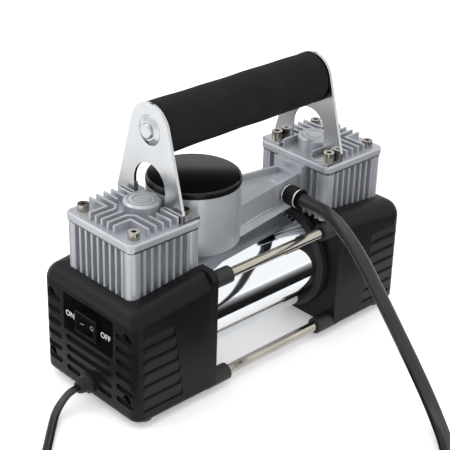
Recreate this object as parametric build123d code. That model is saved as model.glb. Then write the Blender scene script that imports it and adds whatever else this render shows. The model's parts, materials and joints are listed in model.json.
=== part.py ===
"""Twin cylinder 12 volt tyre compressor, in millimetres.

The long axis is X: the switch end is at -X, the plain end at +X. The hose leaves on the -Y side.
Z is up and the four feet stand on z = 0. Pieces that both ends share are made once, for the +X end,
and mirrored.
"""
from build123d import *
import os
from math import acos, atan2, cos, degrees, hypot, pi, radians, sin, tan

# ---------------------------------------------------------------- driving dimensions
body_length = 240.0          # over the two black end housings
body_width = 93.0
foot_height = 4.0
foot_radius = 5.5
foot_inset = 14.0            # from the end of the housing to the middle of a foot
housing_height = 84.0        # at its inner end, from its own underside
housing_depth = 60.0         # along X, without the end plate
roof_drop = 7.0              # how much lower the roof is at its outer end
shell_wall = 2.6
roof_radius = 12.0
corner_radius = 8.0
base_radius = 4.0
end_plate_thickness = 5.0
housing_screw_radius = 1.75
screw_well_depth = 9.0
screw_well_radius = 3.6
slide_clearance = 0.3        # between pieces that are seated but not clamped
running_clearance = 0.08     # radial, round a shaft or a pin

head_setback = 36.5          # from the end of the housing to the middle of a cylinder
head_length = 56.5           # along X
head_width = 64.0            # along Y
head_thickness = 4.4
head_corner_radius = 5.0
block_inset = 0.6            # the finned block is this much smaller than its head, all round
block_seat_depth = 9.0       # how far the finned block reaches down into the housing
block_height = 34.0
fin_pitch = 5.7
fin_thickness = 1.8
fin_depth = 4.6
top_fin_height = 5.0
top_fin_margin = 4.5
boss_radius = 11.8
boss_height = 8.4
boss_shift = 7.0              # the boss stands this far towards the middle of the machine
boss_gap = 3.7                # the straight fins stop this far from the boss
fin_bend = 3.8                # how much the inner bent fin cuts its corner
ring_depth = 0.5              # of the two round grooves in the top of the boss
screw_offset_x = 19.3
screw_offset_y = 24.0
screw_radius = 2.0
screw_head_radius = 3.7
screw_head_height = 4.6
hexagon_radius = 1.8
valve_plate_thickness = 1.2
gasket_thickness = 0.6
port_radius = 2.0

bore_radius = 15.0
piston_clearance = 0.2
piston_length = 24.0
piston_wall = 1.8
crown_thickness = 3.0
squish_height = 0.6          # between the crown and the gasket at the top of the stroke
wrist_depth = 21.2           # from the crown down to the wrist pin
crank_throw = 6.0
rod_thickness = 6.0
rod_web_half = 2.6
big_eye_radius = 6.6
small_eye_radius = 4.6
crank_pin_radius = 2.5
wrist_pin_radius = 2.0

gear_module = 0.7
pinion_teeth = 12
gear_teeth = 38
gear_width = 6.0
gear_backlash = 0.22
axle_radius = 3.0
lightening_radius = 2.1
shaft_radius = 2.5
bearing_radius = 8.0
deck_thickness = 6.0

tie_rod_inset = 5.5          # from the side of the end plate to the rod axis
tie_rod_low = 4.4            # from the underside of the plate to the lower rod axis
tie_rod_high = 8.0           # from the top of the plate to the upper rod axis
rod_radius = 3.4
sleeve_radius = 5.6
sleeve_length = 13.5

motor_radius = 34.6
shroud_wall = 0.9
collar_radius = 37.4
collar_length = 4.5
can_wall = 3.0
magnet_thickness = 5.4
magnet_gap = 16.0
air_gap = 0.6
bell_thickness = 5.0
winding_overhang = 7.0
winding_gap = 7.0            # between the winding and the +X end cap
slot_count = 12
commutator_radius = 9.0
commutator_length = 12.0
commutator_gap = 5.0         # from the -X end cap
commutator_tail = 2.0        # between the commutator and the winding
brush_half = 3.0
brush_length = 11.0
brush_holder_wall = 1.2

gauge_setback = 49.0         # from the middle of the -X cylinder
hub_radius = 30.2
hub_gap = 0.6                # between the hub and the top of the housing
hub_height = 39.4
hub_wall = 3.2
gauge_depth = 16.0
bezel_height = 3.4
dial_lift = 7.0              # from the floor of the gauge to the dial
dial_thickness = 1.0
spindle_radius = 0.8
needle_rest = 225.0          # degrees from +X, the zero mark of the scale
arm_height = 20.4
arm_half_width_hub = 19.5
arm_half_width_head = 9.5
arm_rim = 2.4
dish_depth = 3.5
skirt_width = 2.8            # the foot of the arm stands out this far from its wall
skirt_height = 5.4
port_flange_length = 4.8
port_half_width = 12.5

bracket_thickness = 2.0
bracket_top_radius = 17.2
bracket_edge = 1.5           # from the side of the head to the side of the bracket foot
bracket_shoulder = 6.0
arch_half_width = 14.5
arch_height = 30.0           # from the top of the head
handle_height = 51.6         # from the top of the head to the axis of the grip
bracket_gap = 0.8            # between the bracket and the screws beside it
grip_radius = 17.0
handle_tube_radius = 10.0
handle_tube_wall = 1.5
handle_plug_length = 16.0
handle_bolt_radius = 3.0
handle_bolt_head_radius = 5.0
handle_washer_radius = 9.6
handle_washer_height = 1.6
handle_bolt_head_height = 1.8

hose_setback = 14.05         # from the pad of the manifold to the hose axis
hose_height = 11.9           # from the underside of the arm to the hose axis
hose_radius = 4.5
barb_radius = 2.6
nut_gap = 4.0                # between the arm and the nut
nut_length = 12.0
nut_radius = 6.6
nut_groove_count = 18

label_width = 49.0
label_height = 27.0
label_height_on_end = 51.5   # from the underside of the housing to the middle of the label
label_thickness = 0.8
label_chamfer = 4.0
switch_drop = 0.5            # how far the switch is below the middle of the label
switch_width = 21.0
switch_height = 15.0
switch_depth = 16.0
switch_bezel_edge = 1.0      # the bezel overlaps its hole by this much
bezel_rise = 2.0
pocket_depth = 9.0
rocker_width = 16.0
rocker_height = 10.0
rocker_gap = 0.4
rocker_tilt = 9.0            # degrees either side of level
rocker_pin_radius = 0.8
cord_radius = 2.75
gland_height = 9.5           # from the underside of the housing to the axis of the cord
gland_radius = 6.5
gland_length = 9.0
gland_flange = 2.4

vent_height = 4.4
vent_pitch = 7.6
vent_half_length = 22.5
vent_depth = 1.6              # the vents are blind recesses in the shell
side_vent_gap = 4.5           # between the middle vents and the short ones at the sides
louvre_count = 6
louvre_pitch = 8.95
louvre_low = 12.3            # from the underside of the housing to the lowest louvre
louvre_depth = 0.8
louvre_length = 30.4         # of the highest louvre, from the end of the housing
louvre_step = 1.25           # each lower louvre is this much longer

cord_lift = 0.15             # a cord that lies on the floor clears it by this much
cord_coil_offset = (-64.0, -92.0)
cord_coil_middle = 31.0
cord_coil_half = 10.0
cord_coil_height = 17.0
plug_lead = 61.0              # from the middle of the coil to the plug, along the plug
plug_aside = 3.0              # the plug lies this far outside the middle of the turns
plug_radius = 12.0
plug_neck_length = 9.0
plug_grip_length = 34.0
plug_barrel_length = 30.0
plug_barrel_radius = 10.3
plug_bore_radius = 4.6
plug_groove_pitch = 5.0
plug_groove_count = 5
tip_radius = 3.6
tip_travel = 4.0
nose_length = 9.0
contact_length = 15.0
contact_half = 2.4
contact_rise = 0.2           # above the barrel, pressed in as in a socket

hose_coil_offset = (-32.0, -236.5)
hose_coil_middle = 50.0
hose_coil_half = 6.5
hose_coil_height = 20.0
chuck_lead = 58.0             # from the middle of the coil to the chuck, along the chuck
chuck_aside = 3.6             # the chuck lies this far outside the middle of the turns
chuck_radius = 7.5
chuck_sleeve_length = 16.0
chuck_head_length = 26.0
chuck_bore_radius = 4.1
chuck_bore_depth = 14.0
chuck_ear_thickness = 2.0
chuck_pin_radius = 1.1
lever_width = 7.0
lever_length = 30.0

# ---------------------------------------------------------------- worked out from them
half_length = body_length / 2
half_width = body_width / 2
shell_inner_x = half_length - housing_depth
plate_inner_x = shell_inner_x - end_plate_thickness
housing_top_z = foot_height + housing_height
block_base_z = housing_top_z - block_seat_depth
block_top_z = block_base_z + block_height
valve_plate_z = block_top_z + gasket_thickness
head_base_z = valve_plate_z + valve_plate_thickness
head_top_z = head_base_z + head_thickness
head_x = half_length - head_setback
block_length = head_length - 2 * block_inset
block_width = head_width - 2 * block_inset
tie_rod_y = half_width - tie_rod_inset
tie_rod_zs = (foot_height + tie_rod_low, housing_top_z - tie_rod_high)
motor_z = sum(tie_rod_zs) / 2
crank_z = motor_z + gear_module * (pinion_teeth + gear_teeth) / 2
pin_z = crank_z + crank_throw
crown_top_z = block_top_z - squish_height
wrist_z = crown_top_z - wrist_depth
rod_x0 = head_x - rod_thickness / 2
rod_x1 = head_x + rod_thickness / 2
gear_x1 = rod_x0 - 2.0
gear_x0 = gear_x1 - gear_width
case_x0 = shell_inner_x + 1.0
case_x1 = gear_x0 - 0.8
can_half = plate_inner_x - bell_thickness
commutator_x0 = commutator_gap - can_half
commutator_x1 = commutator_x0 + commutator_length
armature_x0 = commutator_x1 + commutator_tail + winding_overhang
armature_x1 = can_half - winding_gap - winding_overhang
gauge_x = gauge_setback - head_x
port_flange_x1 = head_x - block_length / 2
port_flange_x0 = port_flange_x1 - port_flange_length
hose_x = port_flange_x0 - hose_setback
hub_base_z = housing_top_z + hub_gap
hub_top_z = hub_base_z + hub_height
gauge_floor_z = hub_top_z - gauge_depth
arm_top_z = hub_base_z + arm_height
bracket_plane_x = head_x - screw_offset_x + screw_head_radius + bracket_gap
bracket_outer_x = bracket_plane_x + bracket_thickness
bracket_half_base = head_width / 2 - bracket_edge
arch_top_z = head_top_z + arch_height
handle_axis_z = head_top_z + handle_height
label_centre_z = foot_height + label_height_on_end
switch_centre_z = label_centre_z - switch_drop
switch_hole_width = switch_width - 2 * switch_bezel_edge
switch_hole_height = switch_height - 2 * switch_bezel_edge
gland_z = foot_height + gland_height
gland_hole_radius = gland_radius - 1.5
vent_rows = [gland_z + 1.2 + vent_pitch * i for i in range(4)]
louvre_rows = [foot_height + louvre_low + louvre_pitch * i for i in range(louvre_count)]
housing_screw_y = half_width - corner_radius - 1.5
housing_screw_zs = (louvre_rows[0] + louvre_pitch / 3, louvre_rows[-1] + louvre_pitch / 5)
housing_screw_points = [(y, z) for y in (-housing_screw_y, housing_screw_y) for z in housing_screw_zs]

os.makedirs("parts", exist_ok=True)


# ---------------------------------------------------------------- small helpers
def block(x0, x1, y0, y1, z0, z1):
    """A box between two corners."""
    return Pos((x0 + x1) / 2, (y0 + y1) / 2, (z0 + z1) / 2) * Box(x1 - x0, y1 - y0, z1 - z0)


def rod_x(x0, x1, radius, y=0.0, z=0.0):
    """A cylinder along X."""
    return Pos((x0 + x1) / 2, y, z) * Rot(0, 90, 0) * Cylinder(radius, x1 - x0)


def rod_y(y0, y1, radius, x=0.0, z=0.0):
    """A cylinder along Y."""
    return Pos(x, (y0 + y1) / 2, z) * Rot(90, 0, 0) * Cylinder(radius, y1 - y0)


def rod_z(z0, z1, radius, x=0.0, y=0.0):
    """A cylinder along Z."""
    return Pos(x, y, (z0 + z1) / 2) * Cylinder(radius, z1 - z0)


def rounded_block(length, width, z0, z1, radius, x=0.0, y=0.0):
    """An upright block with rounded vertical corners."""
    return Pos(x, y, z0) * extrude(RectangleRounded(length, width, radius), z1 - z0)


def bar(start, end, thickness, z0, z1):
    """A straight upright fin between two points seen from above, with round ends."""
    length = hypot(end[0] - start[0], end[1] - start[1])
    angle = degrees(atan2(end[1] - start[1], end[0] - start[0]))
    middle = Pos((start[0] + end[0]) / 2, (start[1] + end[1]) / 2, z0)
    return middle * Rot(0, 0, angle) * extrude(SlotCenterToCenter(length, thickness), z1 - z0)


def mirrored(shape):
    """The same piece at the -X end."""
    return mirror(shape, about=Plane.YZ)


def corners(offset_x, offset_y):
    """The four points of a rectangle about the origin."""
    return [(i * offset_x, j * offset_y) for i in (-1, 1) for j in (-1, 1)]


def save(name, *shapes):
    """Write one node; several solids of a set share it."""
    solids = [s for shape in shapes for s in shape.solids()]
    export_step(solids[0] if len(solids) == 1 else Compound(children=solids), f"parts/{name}.step")


# ---------------------------------------------------------------- end housings
def housing_body(inset, inner_x):
    """The rounded box of an end housing, with every outer face moved in by inset."""
    top = housing_top_z - inset
    end = half_length - inset
    low = foot_height + inset
    drop = roof_drop * (end - shell_inner_x) / housing_depth
    profile = Plane.XZ * Polygon((inner_x, low), (end, low), (end, top - drop), (shell_inner_x, top),
                                 (inner_x, top), align=None)
    body = extrude(profile, half_width - inset, both=True)

    def runs_along(edge, axis):
        return abs(abs(edge.tangent_at(0.5).dot(axis.direction)) - 1) < 0.05

    wall_y = half_width - inset - 0.01
    end_x = end - 0.01
    upper = [e for e in body.edges() if e.center().Z > motor_z]
    roof = [e for e in upper if runs_along(e, Axis.X) and abs(e.center().Y) > wall_y]
    roof += [e for e in upper if runs_along(e, Axis.Y) and e.center().X > end_x]
    body = fillet(roof, roof_radius - inset)
    uprights = [e for e in body.edges() if runs_along(e, Axis.Z) and e.center().X > end_x
                and abs(e.center().Y) > wall_y and e.length > roof_radius]
    body = fillet(uprights, corner_radius - inset)
    base = [e for e in body.edges() if e.center().Z < low + 0.01 and e.center().X > inner_x + 0.01]
    return fillet(base, base_radius - inset)


def slot_cutter(z, y0, y1):
    """A round ended recess in the outer wall, seen along X."""
    slot = Plane.YZ.offset(half_length - vent_depth) * Pos((y0 + y1) / 2, z)
    return extrude(slot * SlotOverall(y1 - y0, vent_height), 2 * vent_depth)


def louvre_cutter(z, side, length):
    """A wedge sunk into one long side, deepest at its lower edge, open to the outer corner."""
    wall = side * half_width
    outline = Plane.YZ.offset(half_length - length) * Polygon(
        (wall - side * louvre_depth, z - louvre_pitch * 0.42), (wall + side, z - louvre_pitch * 0.42),
        (wall + side, z + louvre_pitch * 0.42), (wall, z + louvre_pitch * 0.42), align=None)
    return extrude(outline, length, dir=(1, 0, 0))


def housing(inner_x=shell_inner_x):
    """One hollow end housing with its vents, louvres, screw wells and the window for a cylinder."""
    shell = housing_body(0, inner_x) - housing_body(shell_wall, inner_x - 5)
    wells = [rod_x(half_length - screw_well_depth - shell_wall, half_length - 1, screw_well_radius
                   + shell_wall, y, z) for y, z in housing_screw_points]
    inside = housing_body(shell_wall / 2, inner_x)
    for well in wells:
        shell += well & inside
    for y, z in housing_screw_points:
        shell -= rod_x(half_length - screw_well_depth, half_length + 1, screw_well_radius, y, z)
        shell -= rod_x(shell_inner_x, half_length, housing_screw_radius + running_clearance, y, z)
    window = rounded_block(block_length + 2 * slide_clearance, block_width + 2 * slide_clearance,
                           block_base_z - 2, housing_top_z + 2, head_corner_radius, head_x)
    shell -= window
    shell -= block(inner_x - 1, head_x, -block_width / 2 - slide_clearance,
                   block_width / 2 + slide_clearance, block_base_z - 2, housing_top_z + 2)
    for side in (-1, 1):
        for row, z in enumerate(louvre_rows):
            shell -= louvre_cutter(z, side, louvre_length + louvre_step * (louvre_count - 1 - row))
            y0, y1 = sorted((side * (vent_half_length + side_vent_gap),
                             side * (half_width - corner_radius / 2)))
            shell -= slot_cutter(z, y0, y1)
    return shell


def switch_end(shell):
    """Cuts for the label, switch, cord gland and the four central vents of the -X housing."""
    shell -= block(half_length - label_thickness, half_length + 1, -label_width / 2, label_width / 2,
                   label_centre_z - label_height / 2, label_centre_z + label_height / 2)
    shell -= block(half_length - 5, half_length, -switch_hole_width / 2, switch_hole_width / 2,
                   switch_centre_z - switch_hole_height / 2, switch_centre_z + switch_hole_height / 2)
    for z in vent_rows[1:]:
        shell -= slot_cutter(z, -vent_half_length, vent_half_length)
    for side in (-1, 1):
        y0, y1 = sorted((side * (gland_radius + 2.5), side * vent_half_length))
        shell -= slot_cutter(vent_rows[0], y0, y1)
    return shell - rod_x(half_length - 5, half_length + 1, gland_hole_radius, 0, gland_z)


def plain_end(shell):
    """The +X housing has a full column of vents instead of the switch."""
    row_count = int((label_centre_z + label_height / 2 - vent_rows[0]) // vent_pitch) + 1
    for i in range(row_count):
        shell -= slot_cutter(vent_rows[0] + vent_pitch * i, -vent_half_length, vent_half_length)
    return shell


right_housing = housing()
save("right_housing", plain_end(right_housing))
save("left_housing", mirrored(switch_end(right_housing)))


# ---------------------------------------------------------------- end plates, rods and motor case
def end_plate():
    """The plate that closes a housing and carries the motor, the rods and the crankcase."""
    plate = extrude(Plane.YZ.offset(plate_inner_x) * Pos(0, foot_height + housing_height / 2)
                    * RectangleRounded(body_width, housing_height, base_radius + 2), end_plate_thickness)
    plate -= block(plate_inner_x - 1, shell_inner_x + 1, -block_width / 2 - slide_clearance,
                   block_width / 2 + slide_clearance, block_base_z - 2, housing_top_z + 2)
    for y in (-tie_rod_y, tie_rod_y):
        for z in tie_rod_zs:
            plate += rod_x(plate_inner_x, shell_inner_x, sleeve_radius, y, z)
            plate -= rod_x(plate_inner_x - 1, shell_inner_x + 1, rod_radius, y, z)
    for y, z in housing_screw_points:
        plate -= rod_x(plate_inner_x + 1.5, shell_inner_x + 1, housing_screw_radius, y, z)
    return plate - rod_x(plate_inner_x - 1, shell_inner_x + 1, bearing_radius, 0, motor_z)


right_plate = end_plate()
save("end_plates", right_plate, mirrored(right_plate))

rod_points = [(y, z) for y in (-tie_rod_y, tie_rod_y) for z in tie_rod_zs]
save("tie_rods", *[rod_x(-shell_inner_x, shell_inner_x, rod_radius, y, z) for y, z in rod_points])
sleeves = [rod_x(plate_inner_x - sleeve_length, plate_inner_x, sleeve_radius, y, z)
           - rod_x(0, plate_inner_x, rod_radius, y, z) for y, z in rod_points]
save("rod_sleeves", *sleeves, *[mirrored(s) for s in sleeves])

foot_x = half_length - foot_inset
feet = [rod_z(0, foot_height, foot_radius, x, y)
        for x, y in corners(foot_x, half_width - foot_inset + 3)]
save("rubber_feet", *feet)

screw_shank = half_length - screw_well_depth - plate_inner_x - 2.5
housing_screws = []
for y, z in housing_screw_points:
    head_x1 = half_length - screw_well_depth + 2.4
    screw = rod_x(head_x1 - 2.4, head_x1, screw_well_radius - 0.5, y, z)
    screw += rod_x(head_x1 - 2.4 - screw_shank, head_x1 - 2.4, housing_screw_radius, y, z)
    screw -= block(head_x1 - 1.2, head_x1 + 1, y - 2, y + 2, z - 0.4, z + 0.4)
    screw -= block(head_x1 - 1.2, head_x1 + 1, y - 0.4, y + 0.4, z - 2, z + 2)
    housing_screws += [screw, mirrored(screw)]
save("housing_screws", *housing_screws)

shroud_inner = motor_radius - shroud_wall
can_radius = shroud_inner - slide_clearance
magnet_radius = can_radius - can_wall
armature_radius = magnet_radius - magnet_thickness - air_gap
save("motor_shroud", rod_x(-plate_inner_x, plate_inner_x, motor_radius, 0, motor_z)
     - rod_x(-body_length, body_length, shroud_inner, 0, motor_z))
collar = rod_x(plate_inner_x - collar_length, plate_inner_x, collar_radius, 0, motor_z)
collar -= rod_x(0, body_length, motor_radius, 0, motor_z)
save("motor_collars", collar, mirrored(collar))
save("motor_can", rod_x(-can_half, can_half, can_radius, 0, motor_z)
     - rod_x(-body_length, body_length, magnet_radius, 0, motor_z))

magnet_ring = rod_x(armature_x0 - 2, armature_x1 + 2, magnet_radius, 0, motor_z)
magnet_ring -= rod_x(-body_length, body_length, magnet_radius - magnet_thickness, 0, motor_z)
magnet_ring -= block(-body_length, body_length, -magnet_gap / 2, magnet_gap / 2, 0, housing_top_z)
save("motor_magnets", magnet_ring)

shaft_end = gear_x1 - 0.5
save("motor_shaft", rod_x(-shaft_end, shaft_end, shaft_radius, 0, motor_z))
core = rod_x(armature_x0, armature_x1, armature_radius, 0, motor_z)
for i in range(slot_count):
    angle = 2 * pi * i / slot_count
    core -= rod_x(armature_x0 - 1, armature_x1 + 1, armature_radius * 0.1,
                  armature_radius * 0.94 * cos(angle), motor_z + armature_radius * 0.94 * sin(angle))
winding_radius = armature_radius * 0.78
core += rod_x(armature_x0 - winding_overhang, armature_x1 + winding_overhang, winding_radius, 0, motor_z)
save("armature", core - rod_x(-body_length, body_length, shaft_radius, 0, motor_z))

commutator = rod_x(commutator_x0, commutator_x1, commutator_radius, 0, motor_z)
commutator -= rod_x(-body_length, body_length, shaft_radius, 0, motor_z)
for i in range(slot_count):
    angle = 2 * pi * (i + 0.5) / slot_count
    commutator -= rod_x(commutator_x0 - 1, commutator_x1 + 1, 0.35, commutator_radius * cos(angle),
                        motor_z + commutator_radius * sin(angle))
save("commutator", commutator)

brush_x = (commutator_x0 + commutator_x1) / 2
brush_y0 = commutator_radius + running_clearance
brush = block(brush_x - brush_half, brush_x + brush_half, brush_y0, brush_y0 + brush_length,
              motor_z - brush_half, motor_z + brush_half)
save("motor_brushes", brush, mirror(brush, about=Plane.XZ))


def end_bell():
    """The cap of the motor can, with the bore for a bearing bush."""
    bell = rod_x(can_half, plate_inner_x, can_radius, 0, motor_z)
    return bell - rod_x(0, body_length, bearing_radius, 0, motor_z)


def brush_holder():
    """A square tube on the inside of the -X end cap that guides one brush."""
    outer = brush_half + brush_holder_wall
    holder = block(-can_half, brush_x + outer, brush_y0 + 2, brush_y0 + brush_length + 1.5,
                   motor_z - outer, motor_z + outer)
    return holder - block(brush_x - brush_half, brush_x + brush_half, 0,
                          brush_y0 + brush_length, motor_z - brush_half, motor_z + brush_half)


holder = brush_holder()
save("motor_end_bells", end_bell(), mirrored(end_bell()) + holder + mirror(holder, about=Plane.XZ))
bush = rod_x(can_half, shell_inner_x, bearing_radius, 0, motor_z)
bush -= rod_x(0, body_length, shaft_radius + running_clearance, 0, motor_z)
save("shaft_bearings", bush, mirrored(bush))


# ---------------------------------------------------------------- gears and cranks
def gear_outline(teeth, phase):
    """An involute gear outline; phase is the angle of the first tooth from +Y, in degrees."""
    pitch = gear_module * teeth / 2
    pressure = radians(20)
    base = pitch * cos(pressure)
    tip = pitch + 0.85 * gear_module
    root = pitch - 1.2 * gear_module
    half_tooth = pi / (2 * teeth) - gear_backlash / (2 * pitch)
    involute_at_pitch = tan(pressure) - pressure
    points = []
    for tooth in range(teeth):
        middle = radians(phase) + 2 * pi * tooth / teeth
        flank = []
        for step in range(5):
            radius = max(base, root) + (tip - max(base, root)) * step / 4
            roll = (radius ** 2 / base ** 2 - 1) ** 0.5 if radius > base else 0.0
            lag = involute_at_pitch - (roll - atan2(roll, 1))
            flank.append((radius, half_tooth + lag))
        flank.insert(0, (root, flank[0][1] + 0.01))
        for radius, angle in flank:
            points.append((radius * cos(middle - angle), radius * sin(middle - angle)))
        for radius, angle in reversed(flank):
            points.append((radius * cos(middle + angle), radius * sin(middle + angle)))
    return Polygon(*points, align=None)


def gear(teeth, phase, x0, x1, z):
    """A spur gear about an X axis."""
    return extrude(Plane.YZ.offset(x0) * Pos(0, z) * gear_outline(teeth, phase), x1 - x0)


# a pinion tooth points straight up into a gap of the gear above it
pinion_phase = 90.0
gear_phase = -90.0 + 180.0 / gear_teeth
pinion = gear(pinion_teeth, pinion_phase, gear_x0 - 0.5, gear_x1, motor_z)
pinion -= rod_x(0, body_length, shaft_radius, 0, motor_z)
save("drive_pinions", pinion, mirrored(pinion))

crank = gear(gear_teeth, gear_phase, gear_x0, gear_x1, crank_z)
crank -= rod_x(0, body_length, axle_radius + running_clearance, 0, crank_z)
for angle in (150, 210, 270, 330, 30):
    crank -= rod_x(0, body_length, lightening_radius, 8.2 * cos(radians(angle)),
                   crank_z + 8.2 * sin(radians(angle)))
crank += rod_x(gear_x1 - 3, rod_x1 + 1.2, crank_pin_radius, 0, pin_z)
save("right_crank_gear", crank)
save("left_crank_gear", mirrored(crank))

axle = rod_x(case_x0, gear_x1 - 0.5, axle_radius, 0, crank_z)
save("gear_axles", axle, mirrored(axle))


def connecting_rod():
    """Big eye round the crank pin, and a small eye for a short wrist pin below the crown."""
    web = block(rod_x0 + 1, rod_x1 - 1, -rod_web_half, rod_web_half, pin_z, wrist_z)
    body = web + rod_x(rod_x0, rod_x1, big_eye_radius, 0, pin_z)
    body += rod_x(rod_x0, rod_x1, small_eye_radius, 0, wrist_z)
    body -= rod_x(0, body_length, crank_pin_radius + running_clearance, 0, pin_z)
    return body - rod_x(0, body_length, wrist_pin_radius, 0, wrist_z)


con_rod = connecting_rod()
wrist_pin = rod_x(rod_x0 - 2.5, rod_x1 + 2.5, wrist_pin_radius, 0, wrist_z)
save("right_con_rod", con_rod, wrist_pin)
save("left_con_rod", mirrored(con_rod), mirrored(wrist_pin))


def piston():
    """A thin walled trunk piston, open below, with two ring grooves."""
    outer = bore_radius - piston_clearance
    base = crown_top_z - piston_length
    body = rod_z(base, crown_top_z, outer, head_x)
    body -= rod_z(base - 1, crown_top_z - crown_thickness, outer - piston_wall, head_x)
    for depth in (3.2, 6.4):
        groove = rod_z(crown_top_z - depth - 1.2, crown_top_z - depth, outer + 1, head_x)
        body -= groove - rod_z(0, housing_top_z * 2, outer - 0.7, head_x)
    return body


save("right_piston", piston())
save("left_piston", mirrored(piston()))


def crankcase():
    """The cast frame in a housing: a wall for the gear axle, a deck for the cylinder, two webs."""
    half = block_width / 2 - 2
    deck_x1 = head_x + block_length / 2 - 3
    wall = block(case_x0, case_x1, -half, half, foot_height + shell_wall + slide_clearance, block_base_z)
    wall -= rod_x(0, body_length, axle_radius, 0, crank_z)
    wall -= rod_x(0, body_length, bearing_radius + slide_clearance, 0, motor_z)
    deck = block(case_x0, deck_x1, -half, half, block_base_z - deck_thickness, block_base_z)
    case = wall + deck
    for y in (-half + 2, half - 2):
        web = Plane.XZ.offset(-y) * Polygon((case_x0, motor_z), (case_x1, motor_z),
                                            (deck_x1, block_base_z - deck_thickness),
                                            (deck_x1, block_base_z), (case_x0, block_base_z), align=None)
        case += extrude(web, 2, both=True)
    case -= rod_z(block_base_z - 20, block_base_z + 1, bore_radius + 1, head_x)
    case -= block(case_x1, deck_x1 + 5, -gear_module * gear_teeth / 2 - 2, gear_module * gear_teeth / 2 + 2,
                  0, crank_z + gear_module * gear_teeth / 2 + 1.5)
    for dx, dy in corners(screw_offset_x, screw_offset_y):
        case -= rod_z(block_base_z - 20, block_base_z + 1, screw_radius, head_x + dx, dy)
    return case


right_case = crankcase()
save("crankcases", right_case, mirrored(right_case))


# ---------------------------------------------------------------- cylinders and heads
def screw_holes(shape, x=head_x, radius=screw_radius + running_clearance):
    """Clearance holes for the four head screws."""
    for dx, dy in corners(screw_offset_x, screw_offset_y):
        shape -= rod_z(0, 2 * head_top_z, radius, x + dx, dy)
    return shape


def finned_block():
    """The cylinder: a core with a bore, fins on all four sides and a round post at each corner."""
    half_x, half_y = block_length / 2, block_width / 2
    core_x, core_y = half_x - fin_depth, half_y - fin_depth
    body = rounded_block(2 * core_x, 2 * core_y, block_base_z, block_top_z, 2, head_x)
    fins_y = int((core_y - fin_pitch / 2) // fin_pitch)
    fins_x = int((core_x - fin_pitch / 2) // fin_pitch)
    for i in range(-fins_y, fins_y + 1):
        y = i * fin_pitch
        body += block(head_x - half_x, head_x + half_x, y - fin_thickness / 2, y + fin_thickness / 2,
                      block_base_z, block_top_z)
    for i in range(-fins_x, fins_x + 1):
        x = head_x + i * fin_pitch
        body += block(x - fin_thickness / 2, x + fin_thickness / 2, -half_y, half_y,
                      block_base_z, block_top_z)
    for dx, dy in corners(half_x - head_corner_radius, half_y - head_corner_radius):
        body += rod_z(block_base_z, block_top_z, head_corner_radius, head_x + dx, dy)
    body -= rod_z(0, 2 * block_top_z, bore_radius, head_x)
    return screw_holes(body)


hub_clearance = rod_z(hub_base_z - 1, hub_top_z + 20, hub_radius + slide_clearance, gauge_x)


def port_flange():
    """The flat pad on the inner side of the +X head that the manifold arm bolts to."""
    return block(port_flange_x0, port_flange_x1, -port_half_width, port_half_width, hub_base_z + 1,
                 head_base_z)


def top_fins():
    """Straight fins that stop short of the boss, and bent ones that go round it and the screw pockets."""
    end_x = head_length / 2 - top_fin_margin
    end_y = head_width / 2 - top_fin_margin
    near = boss_radius + boss_gap
    knee = fin_pitch + fin_bend
    bend = 2 * fin_pitch
    inner_y = (boss_radius + arch_half_width) / 2 - 0.25
    paths = [
        [(0, near), (0, end_y)],
        [(-fin_pitch, near), (-fin_pitch, end_y)],
        [(end_x, fin_pitch), (knee, fin_pitch), (fin_pitch, knee), (fin_pitch, end_y)],
        [(end_x, bend), (bend, bend), (bend, end_y)],
        [(-end_x, inner_y), (-bend, inner_y), (-bend, end_y)]]
    z0, z1 = head_top_z - 0.5, head_top_z + top_fin_height
    fins = [bar(a, b, fin_thickness, z0, z1) for path in paths for a, b in zip(path, path[1:])]
    half = fins[0].fuse(*fins[1:])
    middle = bar((near - boss_shift, 0), (end_x, 0), fin_thickness, z0, z1)
    return half + mirror(half, about=Plane.XZ) + middle


def boss_ring(outer, inner):
    """A round groove in the top of the boss, as a solid to cut away."""
    top = head_top_z + boss_height
    ring = rod_z(top - ring_depth, top + 1, outer, -boss_shift)
    return ring - rod_z(0, 2 * head_top_z, inner, -boss_shift)


def head():
    """The finned head plate, its round boss and its screw holes, centred on the +X cylinder."""
    plate = rounded_block(head_length, head_width, head_base_z, head_top_z, head_corner_radius)
    plate = fillet(plate.edges().filter_by(Plane.XY).group_by(Axis.Z)[-1], 1.2)
    boss = rod_z(head_top_z - 1, head_top_z + boss_height, boss_radius, -boss_shift)
    boss = chamfer(boss.edges().group_by(Axis.Z)[-1], 1.3)
    body = plate + boss + top_fins()
    body -= boss_ring(boss_radius - 2.4, boss_radius - 3.1)
    body -= boss_ring(boss_radius - 5.6, boss_radius - 6.6)
    foot = block(bracket_plane_x - head_x - 14, bracket_outer_x - head_x + slide_clearance,
                 arch_half_width, bracket_half_base + 2, head_top_z, 2 * head_top_z)
    body -= foot + mirror(foot, about=Plane.XZ)
    return screw_holes(Pos(head_x, 0, 0) * body)


def cover_plate(z0, z1, shrink):
    """A flat plate between the block and the head, with its ports."""
    plate = rounded_block(block_length - shrink, block_width - shrink, z0, z1, head_corner_radius - 1, head_x)
    return screw_holes(plate)


right_cylinder = finned_block()
right_head = head()
save("right_cylinder", right_cylinder)
save("left_cylinder", mirrored(right_cylinder) - hub_clearance)
save("right_head", right_head)
save("left_head", mirrored(right_head) - hub_clearance)
valve_plate = cover_plate(valve_plate_z, head_base_z, 0)
for dy in (-5.0, 5.0):
    valve_plate -= rod_z(0, 2 * head_top_z, port_radius, head_x, dy)
gasket = cover_plate(block_top_z, valve_plate_z, 0.4) - rod_z(0, 2 * head_top_z, bore_radius, head_x)
save("valve_plates", valve_plate, mirrored(valve_plate) - hub_clearance)
save("head_gaskets", gasket, mirrored(gasket) - hub_clearance)


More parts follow.
